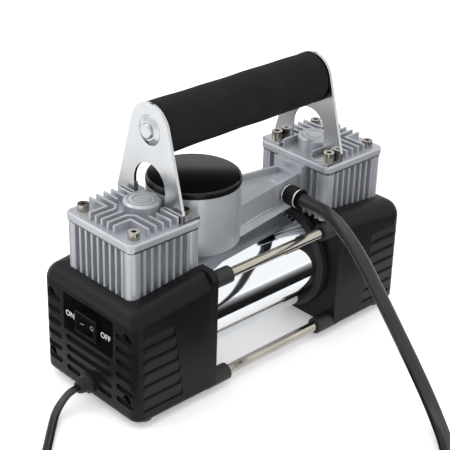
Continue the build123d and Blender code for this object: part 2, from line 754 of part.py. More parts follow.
def socket_screw(x, y, seat_z):
    """A socket head cap screw that reaches down into the crankcase deck."""
    screw = rod_z(seat_z, seat_z + screw_head_height, screw_head_radius, x, y)
    screw += rod_z(block_base_z - deck_thickness + 1, seat_z, screw_radius, x, y)
    hexagon = Pos(x, y, seat_z + screw_head_height - 2.6) * extrude(RegularPolygon(hexagon_radius, 6), 3)
    return screw - hexagon


head_screws = []
for dx, dy in corners(screw_offset_x, screw_offset_y):
    seat_z = head_top_z + (bracket_thickness if dx < 0 else 0)
    screw = socket_screw(head_x + dx, dy, seat_z)
    head_screws += [screw, mirrored(screw)]
save("head_screws", *head_screws)


# ---------------------------------------------------------------- manifold and gauge
nut_start = arm_half_width_head + nut_gap
hose_z = hub_base_z + hose_height


def arm_outline(x1, extra):
    """The tapering outline of the arm seen from above, from the hub to x1; extra widens it."""
    x0 = gauge_x + hub_radius - 8
    hub_y, head_y = arm_half_width_hub + extra, arm_half_width_head + extra
    return make_face(Polyline((gauge_x, -hub_y), (x0, -hub_y), (x1, -head_y), (x1, head_y),
                              (x0, hub_y), (gauge_x, hub_y), close=True))


def manifold():
    """The cast hub that holds the gauge, and the tapering arm that reaches the +X head."""
    arm_base_z = hub_base_z + 0.4
    outline = arm_outline(port_flange_x0, 0)
    arm = Pos(0, 0, arm_base_z) * extrude(outline, arm_top_z - arm_base_z)
    flare = degrees(atan2(skirt_width, skirt_height))
    arm += Pos(0, 0, arm_base_z) * extrude(arm_outline(port_flange_x0, skirt_width), skirt_height, taper=flare)
    dish = Pos(0, 0, arm_top_z - dish_depth) * extrude(offset(outline, -arm_rim), dish_depth + 1)
    body = arm - dish + rod_z(hub_base_z, hub_top_z, hub_radius, gauge_x)
    body = body - rod_z(gauge_floor_z, hub_top_z + 1, hub_radius - hub_wall, gauge_x)
    body += rod_y(-nut_start, 0, nut_radius - 0.8, hose_x, hose_z)
    body -= rod_y(-nut_start - 1, -nut_start + 8, barb_radius + 0.3, hose_x, hose_z)
    return body


save("manifold", manifold() + port_flange())

dial_radius = hub_radius - hub_wall - slide_clearance
dial_z = gauge_floor_z + dial_lift
movement = Pos(gauge_x, 0, gauge_floor_z) * extrude(RectangleRounded(26, 20, 2), dial_z - gauge_floor_z)
movement += rod_z(gauge_floor_z, dial_z, 8.0, gauge_x)
movement -= rod_z(dial_z - 4, dial_z + 1, spindle_radius + running_clearance, gauge_x)
save("gauge_movement", movement)
dial = rod_z(dial_z, dial_z + dial_thickness, dial_radius, gauge_x)
save("gauge_dial", dial - rod_z(dial_z - 1, dial_z + 2, spindle_radius + running_clearance, gauge_x))

needle_length = dial_radius * 0.76
needle = rod_z(dial_z + 1.4, dial_z + 3.4, 2.6) + rod_z(dial_z - 3.6, dial_z + 3.4, spindle_radius)
pointer = Plane.XY.offset(dial_z + 1.8) * Polygon((-6, -1.1), (needle_length, -0.3),
                                                  (needle_length, 0.3), (-6, 1.1), align=None)
needle += extrude(pointer, 0.8)
save("gauge_needle", Pos(gauge_x, 0, 0) * Rot(0, 0, needle_rest) * needle)

bezel_top_z = hub_top_z + bezel_height / 2
bezel = rod_z(hub_top_z, bezel_top_z, hub_radius + 0.3, gauge_x)
bezel -= rod_z(hub_top_z - 1, bezel_top_z + 1, dial_radius - 1.5, gauge_x)
save("gauge_bezel", bezel)
lens = rod_z(bezel_top_z, hub_top_z + bezel_height + 0.8, hub_radius, gauge_x)
save("gauge_lens", fillet(lens.edges().group_by(Axis.Z)[-1], 1.4))


# ---------------------------------------------------------------- carrying handle
def handle_bracket():
    """A folded steel plate: round top, arch over the boss, and two feet under the head screws."""
    foot_z = head_top_z
    shoulder_z = foot_z + bracket_shoulder
    reach = hypot(bracket_half_base, handle_axis_z - shoulder_z)
    tangent_angle = atan2(shoulder_z - handle_axis_z, bracket_half_base) + acos(bracket_top_radius / reach)
    tangent_y = bracket_top_radius * cos(tangent_angle)
    tangent_z = handle_axis_z + bracket_top_radius * sin(tangent_angle)
    outline = Polygon((-bracket_half_base, foot_z), (bracket_half_base, foot_z),
                      (bracket_half_base, shoulder_z), (tangent_y, tangent_z),
                      (-tangent_y, tangent_z), (-bracket_half_base, shoulder_z), align=None)
    outline += Pos(0, handle_axis_z) * Circle(bracket_top_radius)
    arch_centre_z = arch_top_z - arch_half_width
    outline -= Pos(0, arch_centre_z) * Circle(arch_half_width)
    outline -= Pos(0, arch_centre_z - arch_half_width) * Rectangle(2 * arch_half_width,
                                                                  2 * arch_half_width)
    plate = extrude(Plane.YZ.offset(bracket_plane_x) * outline, bracket_thickness)
    plate -= rod_x(0, body_length, handle_bolt_radius, 0, handle_axis_z)
    for side in (-1, 1):
        y0, y1 = sorted((side * arch_half_width, side * bracket_half_base))
        foot = block(head_x - head_length / 2 + 1.5, bracket_outer_x, y0, y1, foot_z,
                     foot_z + bracket_thickness)
        plate += foot
        plate -= rod_z(foot_z - 1, foot_z + bracket_thickness + 0.01, screw_radius + running_clearance,
                       head_x - screw_offset_x, side * screw_offset_y)
    return plate


bracket = handle_bracket()
save("handle_brackets", bracket, mirrored(bracket) - hub_clearance)

tube = rod_x(-bracket_plane_x, bracket_plane_x, handle_tube_radius, 0, handle_axis_z)
tube -= rod_x(-bracket_plane_x + handle_plug_length, bracket_plane_x - handle_plug_length,
              handle_tube_radius - handle_tube_wall, 0, handle_axis_z)
tube -= rod_x(-body_length, body_length, handle_bolt_radius, 0, handle_axis_z)
save("handle_tube", tube)
grip = rod_x(-bracket_plane_x + slide_clearance, bracket_plane_x - slide_clearance, grip_radius,
             0, handle_axis_z)
grip -= rod_x(-body_length, body_length, handle_tube_radius + 0.1, 0, handle_axis_z)
save("foam_grip", grip)

washer = Pos(bracket_outer_x, 0, handle_axis_z) * Rot(0, 90, 0) * Cone(
    handle_washer_radius, handle_washer_radius - 3.5, handle_washer_height,
    align=(Align.CENTER, Align.CENTER, Align.MIN))
washer -= rod_x(0, body_length, handle_bolt_radius, 0, handle_axis_z)
washer_end_x = bracket_outer_x + handle_washer_height
bolt_head = rod_x(
    washer_end_x, washer_end_x + handle_bolt_head_height,
    handle_bolt_head_radius, 0, handle_axis_z)
bolt_head = fillet(bolt_head.edges().group_by(Axis.X)[-1], 1.2)
bolt = bolt_head + rod_x(bracket_plane_x - handle_plug_length + 2, washer_end_x, handle_bolt_radius,
                         0, handle_axis_z)
save("handle_bolts", washer, bolt, mirrored(washer), mirrored(bolt))


# ---------------------------------------------------------------- switch
label = extrude(Plane.YZ.offset(half_length - label_thickness) * Pos(0, label_centre_z)
                * Rectangle(label_width - 0.2, label_height - 0.2), label_thickness)
label_corners = [e for e in label.edges().filter_by(Axis.X) if e.center().Z < label_centre_z]
label = chamfer(label_corners, label_chamfer)
label -= block(half_length - 5, half_length + 1, -switch_hole_width / 2, switch_hole_width / 2,
               switch_centre_z - switch_hole_height / 2, switch_centre_z + switch_hole_height / 2)
save("switch_label", mirrored(label))

pocket_width = rocker_width + 2 * rocker_gap
pocket_height = rocker_height + 2 * slide_clearance
body = block(half_length - switch_depth, half_length, -switch_hole_width / 2 + 0.1,
             switch_hole_width / 2 - 0.1, switch_centre_z - switch_hole_height / 2 + 0.1,
             switch_centre_z + switch_hole_height / 2 - 0.1)
frame = extrude(Plane.YZ.offset(half_length) * Pos(0, switch_centre_z)
                * RectangleRounded(switch_width, switch_height, 1.0), bezel_rise)
frame = fillet(frame.edges().group_by(Axis.X)[-1], 0.6)
body = body + frame
body -= block(half_length - pocket_depth, half_length + 9, -pocket_width / 2, pocket_width / 2,
              switch_centre_z - pocket_height / 2, switch_centre_z + pocket_height / 2)
pivot_x = half_length - 1.0
body += rod_z(switch_centre_z - pocket_height / 2, switch_centre_z + pocket_height / 2, rocker_pin_radius,
              pivot_x)
save("switch_body", mirrored(body))

paddle = Plane.XY.offset(-rocker_height / 2) * Polygon(
    (2.6, rocker_width / 2), (1.4, 0), (2.6, -rocker_width / 2), (0, -rocker_width / 2 + 0.4),
    (-4.5, -3.5), (-4.5, 3.5), (0, rocker_width / 2 - 0.4), align=None)
paddle = extrude(paddle, rocker_height, dir=(0, 0, 1))
paddle -= rod_z(-rocker_height, rocker_height, rocker_pin_radius + running_clearance)
rocker = Pos(pivot_x, 0, switch_centre_z) * Rot(0, 0, -rocker_tilt) * paddle
save("switch_rocker", mirrored(rocker))
blade = block(half_length - switch_depth - 7, half_length - switch_depth, -0.4, 0.4,
              switch_centre_z - 3, switch_centre_z + 3)
save("switch_terminals", *[mirrored(Pos(0, dy, 0) * blade) for dy in (-5.5, 0.0, 5.5)])


# ---------------------------------------------------------------- cords
def cord_tube(points, radius, name):
    """Straight runs joined by the largest arcs they allow; prints the arcs and the volume ratio."""
    vectors = [Vector(*p) for p in points]
    radii = []
    for before, at, after in zip(vectors, vectors[1:], vectors[2:]):
        turn = (at - before).get_angle(after - at)
        run = min((at - before).length, (after - at).length)
        radii.append(0.45 * run / tan(radians(turn) / 2))
    path = FilletPolyline(*points, radius=radii)
    start = Plane(origin=path @ 0, z_dir=path % 0)
    solid = sweep(start * Circle(radius), path=path)
    print(name, "radii", [round(r) for r in radii], "length", round(path.length),
          "volume ratio", round(solid.volume / (pi * radius ** 2 * path.length), 4))
    return solid


def coil_solid(centre, inner, outer, height):
    """The outer shape of a coil that lies flat on the floor."""
    ring = rod_z(0, height, outer, *centre) - rod_z(-1, height + 1, inner, *centre)
    top = [e for e in ring.edges() if e.center().Z > height - 0.01 and e.geom_type == GeomType.CIRCLE]
    return fillet(top, min(height, outer - inner) * 0.28)


def point_on(centre, radius, angle, z):
    """A point at an angle in degrees round a centre."""
    return (centre[0] + radius * cos(radians(angle)), centre[1] + radius * sin(radians(angle)), z)


def route(start, floor_z, offsets):
    """Points from an exit: X and Y offsets, and Z as a share of the way up from the floor."""
    x, y, z = start
    return [(x + dx, y + dy, floor_z + (z - floor_z) * share) for dx, dy, share in offsets]


gland_tip_x = -half_length - gland_length
gland = rod_x(half_length - 4, half_length, gland_hole_radius, 0, gland_z)
gland += rod_x(half_length, half_length + gland_flange, gland_radius, 0, gland_z)
gland += Pos(half_length + gland_flange, 0, gland_z) * Rot(0, 90, 0) * Cone(
    gland_radius - 1.2, cord_radius + 1.2, gland_length - gland_flange,
    align=(Align.CENTER, Align.CENTER, Align.MIN))
save("cord_gland", mirrored(gland))

cord_z = cord_radius + cord_lift
cord_start = (gland_tip_x, 0, gland_z)
cord_coil_centre = (gland_tip_x + cord_coil_offset[0], cord_coil_offset[1])
cord_route = route(cord_start, cord_z, [
    (0, 0, 1), (-5.5, 0, 1), (-11, 1, 0.54), (-18, -0.8, 0.12), (-27.5, -9.5, 0), (-40, -22.5, 0),
    (-55, -37.5, 0.01), (-70, -54.5, 0)])
cord_route.append(point_on(cord_coil_centre, cord_coil_middle, 135, cord_z))
plug_end_z = plug_radius
plug_start = (cord_coil_centre[0] - cord_coil_middle - plug_aside, cord_coil_centre[1] - plug_lead, plug_end_z)
cord_tail = route(plug_start, cord_z, [
    (0, 0, 1), (0, 13, 1), (0.4, 25.5, 0.69), (1.2, 37.5, 0.22), (2.2, 49.5, 0.02)])
cord_tail.append(point_on(cord_coil_centre, cord_coil_middle, 180, cord_z))
cord_coil = coil_solid(cord_coil_centre, cord_coil_middle - cord_coil_half,
                       cord_coil_middle + cord_coil_half, cord_coil_height)
save("power_cord_coil", cord_coil)
save("power_cord", cord_tube(cord_route, cord_radius, "cord") - cord_coil,
     cord_tube(cord_tail, cord_radius, "cord tail") - cord_coil)


# ---------------------------------------------------------------- lighter socket plug
def plug_piece(near, far, radius):
    """A cylinder on the plug's own axis, measured from where the cord enters."""
    return rod_y(plug_start[1] - far, plug_start[1] - near, radius, plug_start[0], plug_start[2])


grip_end = plug_neck_length + plug_grip_length
barrel_end = grip_end + plug_barrel_length
shell = plug_piece(0, plug_neck_length, cord_radius + 2.4)
shell += fillet(plug_piece(plug_neck_length, grip_end, plug_radius).edges().filter_by(GeomType.CIRCLE), 2.0)
shell += plug_piece(grip_end, barrel_end, plug_barrel_radius)
for i in range(plug_groove_count):
    near = plug_neck_length + plug_grip_length / 4 + plug_groove_pitch * i
    shell -= plug_piece(near, near + 1.6, plug_radius + 1) - plug_piece(near - 1, near + 3, plug_radius - 0.8)
shell -= plug_piece(barrel_end - 20, barrel_end + 1, plug_bore_radius)
contact_y1 = plug_start[1] - grip_end - 8.0


def side_contact(side, depth, gap):
    """A block that reaches out of the plug barrel on one side."""
    z0, z1 = sorted((side * (plug_bore_radius + 1.6), side * depth))
    return block(plug_start[0] - contact_half + gap, plug_start[0] + contact_half - gap,
                 contact_y1 - contact_length, contact_y1, plug_end_z + z0, plug_end_z + z1)


for side in (-1, 1):
    shell -= side_contact(side, plug_barrel_radius + 2, 0)
save("plug_shell", shell)
contact_round = plug_piece(grip_end, barrel_end, plug_barrel_radius + contact_rise)
save("plug_side_contacts", *[side_contact(side, plug_radius, 0.2) & contact_round for side in (-1, 1)])
nose = plug_piece(barrel_end, barrel_end + nose_length, plug_barrel_radius - 0.4)
nose = chamfer(nose.edges().group_by(Axis.Y)[0], 2.4)
save("plug_nose_ring", nose - plug_piece(0, barrel_end + nose_length + 1, plug_bore_radius))
tip = plug_piece(barrel_end - 8, barrel_end + nose_length - 1, plug_bore_radius - running_clearance)
tip += plug_piece(barrel_end - 8, barrel_end + nose_length + tip_travel, tip_radius)
save("plug_tip", fillet(tip.edges().group_by(Axis.Y)[0], 2.0))


# ---------------------------------------------------------------- air hose and tyre chuck
nut = rod_y(-nut_start - nut_length, -nut_start, nut_radius, hose_x, hose_z)
for i in range(nut_groove_count):
    angle = 2 * pi * i / nut_groove_count
    nut -= rod_y(-nut_start - nut_length + 1.5, -nut_start - 2.5, 0.5,
                 hose_x + nut_radius * cos(angle), hose_z + nut_radius * sin(angle))
nut += rod_y(-nut_start, -nut_start + 7, barb_radius, hose_x, hose_z)
save("hose_nut", nut)

hose_floor_z = hose_radius + cord_lift
hose_start = (hose_x, -nut_start - nut_length, hose_z)
hose_coil_centre = (hose_start[0] + hose_coil_offset[0], hose_start[1] + hose_coil_offset[1])
hose_route = route(hose_start, hose_floor_z, [
    (0, 0, 1), (0, -12, 1), (-2, -26, 1.005), (-4.6, -39, 0.978), (-6.4, -51.5, 0.911),
    (-7.2, -63.5, 0.807), (-7.4, -75.5, 0.671), (-7.6, -87.5, 0.532), (-8.8, -100.5, 0.395),
    (-10.6, -114.5, 0.254), (-13.4, -128, 0.129), (-19.4, -142, 0.039), (-29.4, -156.5, 0),
    (-44, -170, 0.001), (-59, -184.5, 0), (-72, -200.5, 0.001), (-79.5, -218.5, 0)])
hose_route.append(point_on(hose_coil_centre, hose_coil_middle, 180, hose_floor_z))
chuck_start = (hose_coil_centre[0] + chuck_lead, hose_coil_centre[1] - hose_coil_middle - chuck_aside, chuck_radius)
chuck_x, chuck_y, _ = chuck_start
hose_tail = [point_on(hose_coil_centre, hose_coil_middle, 270, hose_floor_z)]
hose_tail += route(chuck_start, hose_floor_z, [(-43.5, 2.8, 0.1), (-29, 1.2, 0.4), (-14.5, 0, 1), (0, 0, 1)])
hose_coil = coil_solid(hose_coil_centre, hose_coil_middle - hose_coil_half,
                       hose_coil_middle + hose_coil_half, hose_coil_height)
save("air_hose_coil", hose_coil)
save("air_hose", cord_tube(hose_route, hose_radius, "hose") - hose_coil,
     cord_tube(hose_tail, hose_radius, "hose tail") - hose_coil)

chuck = rod_x(chuck_x, chuck_x + chuck_sleeve_length, hose_radius + 1.5, chuck_y, chuck_radius)
chuck_end_x = chuck_x + chuck_sleeve_length + chuck_head_length
chuck_head = rod_x(chuck_x + chuck_sleeve_length, chuck_end_x, chuck_radius, chuck_y, chuck_radius)
chuck += fillet(chuck_head.edges().filter_by(GeomType.CIRCLE), 1.2)
pivot_x = chuck_end_x - 6.0
pivot_z = 2 * chuck_radius + 2.2
ear_inner = lever_width / 2 + slide_clearance
ear_outer = ear_inner + chuck_ear_thickness
for side in (-1, 1):
    y0, y1 = sorted((chuck_y + side * ear_inner, chuck_y + side * ear_outer))
    chuck += block(pivot_x - 3.5, pivot_x + 3.5, y0, y1, chuck_radius, pivot_z + 2.8)
chuck += rod_y(chuck_y - ear_outer, chuck_y + ear_outer, chuck_pin_radius, pivot_x, pivot_z)
chuck -= rod_x(chuck_end_x - chuck_bore_depth, chuck_end_x + 1, chuck_bore_radius, chuck_y, chuck_radius)
save("chuck_body", chuck)
lever = block(pivot_x - lever_length, pivot_x, chuck_y - lever_width / 2, chuck_y + lever_width / 2,
              pivot_z - 1.2, pivot_z + 1.4)
lever += rod_y(chuck_y - lever_width / 2, chuck_y + lever_width / 2, chuck_pin_radius + 0.8, pivot_x, pivot_z)
lever -= rod_y(chuck_y - lever_width, chuck_y + lever_width, chuck_pin_radius + running_clearance,
               pivot_x, pivot_z)
save("chuck_lever", lever)
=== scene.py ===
# %% [markdown]
# # A twin cylinder tyre compressor
# The CAD model gives every rigid piece at its real size. This lesson dresses it: soft and fine pieces
# are made here, and every surface gets a material that is named for what the real one is.
# Lengths are metres, +Z is up, and the switch end faces -X.

# %% Load the frame
import json
from math import cos, pi, radians, sin

import bmesh
import bpy
from mathutils import Matrix, Vector


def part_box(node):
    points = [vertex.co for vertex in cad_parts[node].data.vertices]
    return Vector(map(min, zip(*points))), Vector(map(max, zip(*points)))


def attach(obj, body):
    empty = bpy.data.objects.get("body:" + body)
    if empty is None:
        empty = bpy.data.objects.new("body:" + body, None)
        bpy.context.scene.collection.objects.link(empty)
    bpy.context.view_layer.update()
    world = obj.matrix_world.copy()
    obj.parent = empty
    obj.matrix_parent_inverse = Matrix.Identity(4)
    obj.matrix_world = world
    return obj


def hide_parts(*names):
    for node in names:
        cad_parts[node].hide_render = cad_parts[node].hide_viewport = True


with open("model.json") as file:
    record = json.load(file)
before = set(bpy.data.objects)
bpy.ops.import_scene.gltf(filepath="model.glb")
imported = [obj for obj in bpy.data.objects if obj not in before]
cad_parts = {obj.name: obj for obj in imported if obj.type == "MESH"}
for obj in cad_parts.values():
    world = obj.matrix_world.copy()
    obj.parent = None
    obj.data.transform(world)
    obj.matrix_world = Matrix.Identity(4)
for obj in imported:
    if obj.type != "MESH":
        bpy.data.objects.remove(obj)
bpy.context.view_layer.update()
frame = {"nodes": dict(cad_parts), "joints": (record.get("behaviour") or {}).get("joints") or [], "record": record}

MM = 0.001

# %% [markdown]
# ## Small helpers
# A node tree is easier to read when one function adds a node, sets it and links it.
# Colours are picked as sRGB hex values, so one function turns them into the linear values that
# shaders work in.


# %% Nodes and colours
def add_node(tree, kind, inputs=None, **settings):
    """Add a node, set its properties, then fill or link its inputs."""
    node = tree.nodes.new(kind)
    for key, value in settings.items():
        setattr(node, key, value)
    for key, value in (inputs or {}).items():
        if isinstance(value, bpy.types.NodeSocket):
            tree.links.new(value, node.inputs[key])
        else:
            node.inputs[key].default_value = value
    return node


def linear(code):
    """An sRGB hex colour as linear RGBA."""
    channels = [int(code[i:i + 2], 16) / 255 for i in (0, 2, 4)]
    return [c / 12.92 if c <= 0.04045 else ((c + 0.055) / 1.055) ** 2.4 for c in channels] + [1.0]


# %% [markdown]
# Lathe work and swept sections cover most of the small pieces. A profile turned about an axis gives
# feet, sleeves and grips; a section carried along a path gives cords. Both close their ends and keep
# their faces pointing outwards.


# %% Meshes
SAME_POINT = 1e-6      # corners nearer than this, in metres, are one corner


def piece_from(name, verts, faces, smooth=True):
    """A mesh object at the origin, with its normals made consistent."""
    mesh = bpy.data.meshes.new(name)
    mesh.from_pydata([tuple(v) for v in verts], [], faces)
    bm = bmesh.new()
    bm.from_mesh(mesh)
    bmesh.ops.remove_doubles(bm, verts=bm.verts, dist=SAME_POINT)
    bmesh.ops.recalc_face_normals(bm, faces=bm.faces)
    bm.to_mesh(mesh)
    bm.free()
    mesh.shade_smooth() if smooth else mesh.shade_flat()
    piece = bpy.data.objects.new(name, mesh)
    bpy.context.scene.collection.objects.link(piece)
    return piece


def turned(name, profile, start, axis, steps=48, smooth=True):
    """Turn (distance along the axis, radius) pairs about an axis; a radius of 0 closes an end."""
    axis = Vector(axis).normalized()
    side = axis.orthogonal().normalized()
    other = axis.cross(side)
    verts, faces = [], []
    for along, radius in profile:
        for i in range(steps):
            angle = 2 * pi * i / steps
            verts.append(Vector(start) + axis * along + (side * cos(angle) + other * sin(angle)) * radius)
    for row in range(len(profile) - 1):
        for i in range(steps):
            j = (i + 1) % steps
            a, b = row * steps, (row + 1) * steps
            faces.append((a + i, a + j, b + j, b + i))
    return piece_from(name, verts, faces, smooth)


def swept(name, path, section, wide, level=False):
    """Carry a closed section along a path; its first direction starts as wide, or is kept level."""
    points = [Vector(p) for p in path]
    tangents = [(points[min(i + 1, len(points) - 1)] - points[max(i - 1, 0)]).normalized()
                for i in range(len(points))]
    first = Vector(wide)
    verts, faces, count = [], [], len(section)
    for point, tangent in zip(points, tangents):
        if level:
            first = tangent.cross(Vector((0, 0, 1)))
        first = (first - tangent * first.dot(tangent)).normalized()
        second = tangent.cross(first)
        verts += [point + first * u + second * v for u, v in section]
    for row in range(len(points) - 1):
        for i in range(count):
            j = (i + 1) % count
            a, b = row * count, (row + 1) * count
            faces.append((a + i, a + j, b + j, b + i))
    faces.append(tuple(range(count)))
    faces.append(tuple(range(len(verts) - count, len(verts))))
    return piece_from(name, verts, faces)


def joined(name, pieces):
    """One mesh object from several."""
    verts, faces = [], []
    for piece in pieces:
        base = len(verts)
        verts += [v.co.copy() for v in piece.data.vertices]
        faces += [[base + i for i in p.vertices] for p in piece.data.polygons]
        bpy.data.objects.remove(piece)
    return piece_from(name, verts, faces)


# %% [markdown]
# ## The camera
# The object is seen from the switch end, a little from above, with a long lens, so its edges stay
# nearly parallel. The camera is turned a degree and a half about its own view axis.

# %% Camera
eye = Vector((-0.5239, -0.5371, 0.4726))
forward = Vector((0.6161, 0.6392, -0.4602)).normalized()
roll = radians(1.613)
level_right = forward.cross(Vector((0, 0, 1))).normalized()
level_up = level_right.cross(forward)
right = level_right * cos(roll) + level_up * sin(roll)
up = level_up * cos(roll) - level_right * sin(roll)
camera_data = bpy.data.cameras.new("camera")
camera_data.lens, camera_data.sensor_width = 102.9, 36
camera_data.clip_start, camera_data.clip_end = 0.01, 20
camera = bpy.data.objects.new("camera", camera_data)
camera.matrix_world = Matrix.Translation(eye) @ Matrix((right, up, -forward)).transposed().to_4x4()
bpy.context.scene.collection.objects.link(camera)
bpy.context.scene.camera = camera
print("camera", camera_data.lens, "mm lens,", round(eye.length, 3), "m from the origin")

# %% [markdown]
# ## The cords
# A cord is a fixed length of something flexible. Its route is a smooth NURBS line whose control
# points are the ones that the CAD model bends its tube through, and the length that isn't needed is
# put away as a coil. The section is then carried along points read from that line.


# %% Routes
def route(start, floor, offsets):
    """Points in metres from an exit: X and Y offsets in mm, and Z as a share of the way up."""
    x, y, z = start
    return [Vector((x + dx, y + dy, floor + (z - floor) * share)) * MM for dx, dy, share in offsets]


def smooth_line(name, points, steps):
    """The points of a quadratic NURBS line through the route."""
    curve = bpy.data.curves.new(name, "CURVE")
    curve.dimensions = "3D"
    spline = curve.splines.new("NURBS")
    spline.points.add(len(points) - 1)
    for target, point in zip(spline.points, points):
        target.co = (*point, 1)
    spline.order_u, spline.use_endpoint_u, spline.resolution_u = 3, True, steps
    line = bpy.data.objects.new(name, curve)
    bpy.context.scene.collection.objects.link(line)
    mesh = bpy.data.meshes.new_from_object(line.evaluated_get(bpy.context.evaluated_depsgraph_get()))
    path = [v.co.copy() for v in mesh.vertices]
    bpy.data.objects.remove(line)
    length = sum((b - a).length for a, b in zip(path, path[1:]))
    print(name, "length", round(length, 4), "m from", len(points), "points")
    return path, length


def ease(t):
    """A smooth step from 0 to 1."""
    t = min(1.0, max(0.0, t))
    return t * t * (3 - 2 * t)


POINTS_PER_TURN = 12
CHORD = cos(pi / POINTS_PER_TURN)      # a quadratic line through points on a circle runs this much inside

# %% [markdown]
# ### Power cord
# A flat twin lead, 5.5 mm wide and half as thick. It drops from its gland to the floor, and 3 m of it
# is wound in six flat layers of turns that lie beside and on each other, with the lighter plug beside.

# %% Power cord route
cord_exit = (-129.0, 0.0, 13.5)
cord_floor = 2.9
cord_wide, cord_thick = 5.5 * MM, 2.8 * MM
cord_points = route(cord_exit, cord_floor, [
    (0, 0, 1), (-5.5, 0, 1), (-11, 1, 0.54), (-18, -0.8, 0.1), (-27.5, -9.5, -0.1), (-40, -22.5, -0.12),
    (-55, -37.5, -0.12), (-70, -54.5, -0.12)])
cord_coil = Vector((-193.0, -92.0, 0)) * MM
CORD_TURNS, CORD_LAYERS = 14.125, 6
coil_outer, coil_inner = 38.0 * MM, 24.2 * MM
for i in range(1, int(CORD_TURNS * POINTS_PER_TURN)):
    done = i / (CORD_TURNS * POINTS_PER_TURN)
    layer = min(CORD_LAYERS - 1, int(done * CORD_LAYERS))
    part = done * CORD_LAYERS - layer
    inward = part if layer % 2 == 0 else 1 - part
    radius = (coil_outer + (coil_inner - coil_outer) * inward) / CHORD
    climb = layer + ease((part - 0.86) / 0.14) * (layer < CORD_LAYERS - 1)
    angle = radians(135) + 2 * pi * i / POINTS_PER_TURN
    height = (1.6 + 2.82 * climb) * MM
    cord_points.append(cord_coil + Vector((radius * cos(angle), radius * sin(angle), height)))
cord_points += [Vector(p) * MM for p in (
    (-230.6, -92, 15.2), (-230.4, -102, 12.6), (-229.2, -112, 7.6), (-228, -123, 6.2),
    (-227.2, -134, 9.4), (-227, -143, 12), (-227, -153, 12))]
cord_path, cord_length = smooth_line("power_cord_line", cord_points, 4)
half = cord_thick / 2
lobe = cord_wide / 2 - half
twin = [(lobe + half * cos(a), half * sin(a)) for a in [radians(v) for v in range(-120, 121, 30)]]
twin += [(-lobe - half * cos(a), -half * sin(a)) for a in [radians(v) for v in range(-120, 121, 30)]]
power_cord = swept("power_cord_lead", cord_path, twin, (0, 1, 0), level=True)
print("power cord", len(power_cord.data.polygons), "faces in", CORD_TURNS, "turns")

# %% [markdown]
# ### Air hose
# A round rubber hose of 9 mm. It leaves its nut straight, arches over the corner of the motor and
# falls to the floor in one long curve. Just over one turn is laid on itself beyond the object, and the
# end comes off it into the lever chuck.

# %% Air hose route
hose_exit = (37.0, -25.5, 100.5)
hose_floor, hose_radius = 4.65, 4.5 * MM
hose_points = route(hose_exit, hose_floor, [
    (0, 0, 1), (0, -12, 1), (-2, -26, 1.005), (-4.6, -39, 0.978), (-6.4, -51.5, 0.911),
    (-7.2, -63.5, 0.807), (-7.4, -75.5, 0.671), (-7.6, -87.5, 0.532), (-8.8, -100.5, 0.395),
    (-10.6, -114.5, 0.254), (-13.4, -128, 0.129), (-19.4, -142, 0.039), (-29.4, -156.5, 0),
    (-44, -170, 0.001), (-59, -184.5, 0), (-72, -200.5, 0.001), (-79.5, -218.5, 0)])
hose_coil = Vector((5.0, -262.0, 0)) * MM
HOSE_TURNS = 1.25
for i in range(int(HOSE_TURNS * POINTS_PER_TURN)):
    turn = i / POINTS_PER_TURN
    angle = pi + 2 * pi * turn
    radius = (50.4 - 1.0 * ease((turn - 0.6) / 0.4)) * MM / CHORD
    height = (4.65 + 9.2 * ease((turn - 0.55) / 0.38)) * MM
    hose_points.append(hose_coil + Vector((radius * cos(angle), radius * sin(angle), height)))
hose_points += [Vector(p) * MM for p in (
    (5, -311.9, 13.85), (19.5, -312.8, 12.2), (34, -314.4, 8.6), (48.5, -315.6, 7.5), (63, -315.6, 7.5))]
hose_path, hose_length = smooth_line("air_hose_line", hose_points, 6)
round_section = [(hose_radius * cos(2 * pi * i / 20), hose_radius * sin(2 * pi * i / 20)) for i in range(20)]
air_hose = swept("air_hose_rubber", hose_path, round_section, (1, 0, 0))
print("air hose", len(air_hose.data.polygons), "faces in", HOSE_TURNS, "turns")

# %% [markdown]
# ## Repeated detail with Geometry Nodes
# Ribs and rings repeat by a rule, so two small node trees make them. The inputs are named for their
# sizes, the result is realised and turned into a plain mesh, and the modifier is gone before anything
# else touches the piece.


# %% Growing a piece from a tree
def new_tree(name, sizes):
    """A geometry tree with named inputs; sizes maps a name to a default."""
    tree = bpy.data.node_groups.new(name, "GeometryNodeTree")
    tree.interface.new_socket("Geometry", in_out="INPUT", socket_type="NodeSocketGeometry")
    for key, value in sizes.items():
        kind = "NodeSocketInt" if isinstance(value, int) else "NodeSocketFloat"
        tree.interface.new_socket(key, in_out="INPUT", socket_type=kind).default_value = value
    tree.interface.new_socket("Material", in_out="INPUT", socket_type="NodeSocketMaterial")
    tree.interface.new_socket("Geometry", in_out="OUTPUT", socket_type="NodeSocketGeometry")
    return tree, add_node(tree, "NodeGroupInput").outputs


def close_tree(tree, geometry, material):
    """Realise, set the material and end the tree."""
    real = add_node(tree, "GeometryNodeRealizeInstances", {"Geometry": geometry})
    painted = add_node(tree, "GeometryNodeSetMaterial", {"Geometry": real.outputs[0], "Material": material})
    add_node(tree, "NodeGroupOutput", {"Geometry": painted.outputs[0]})


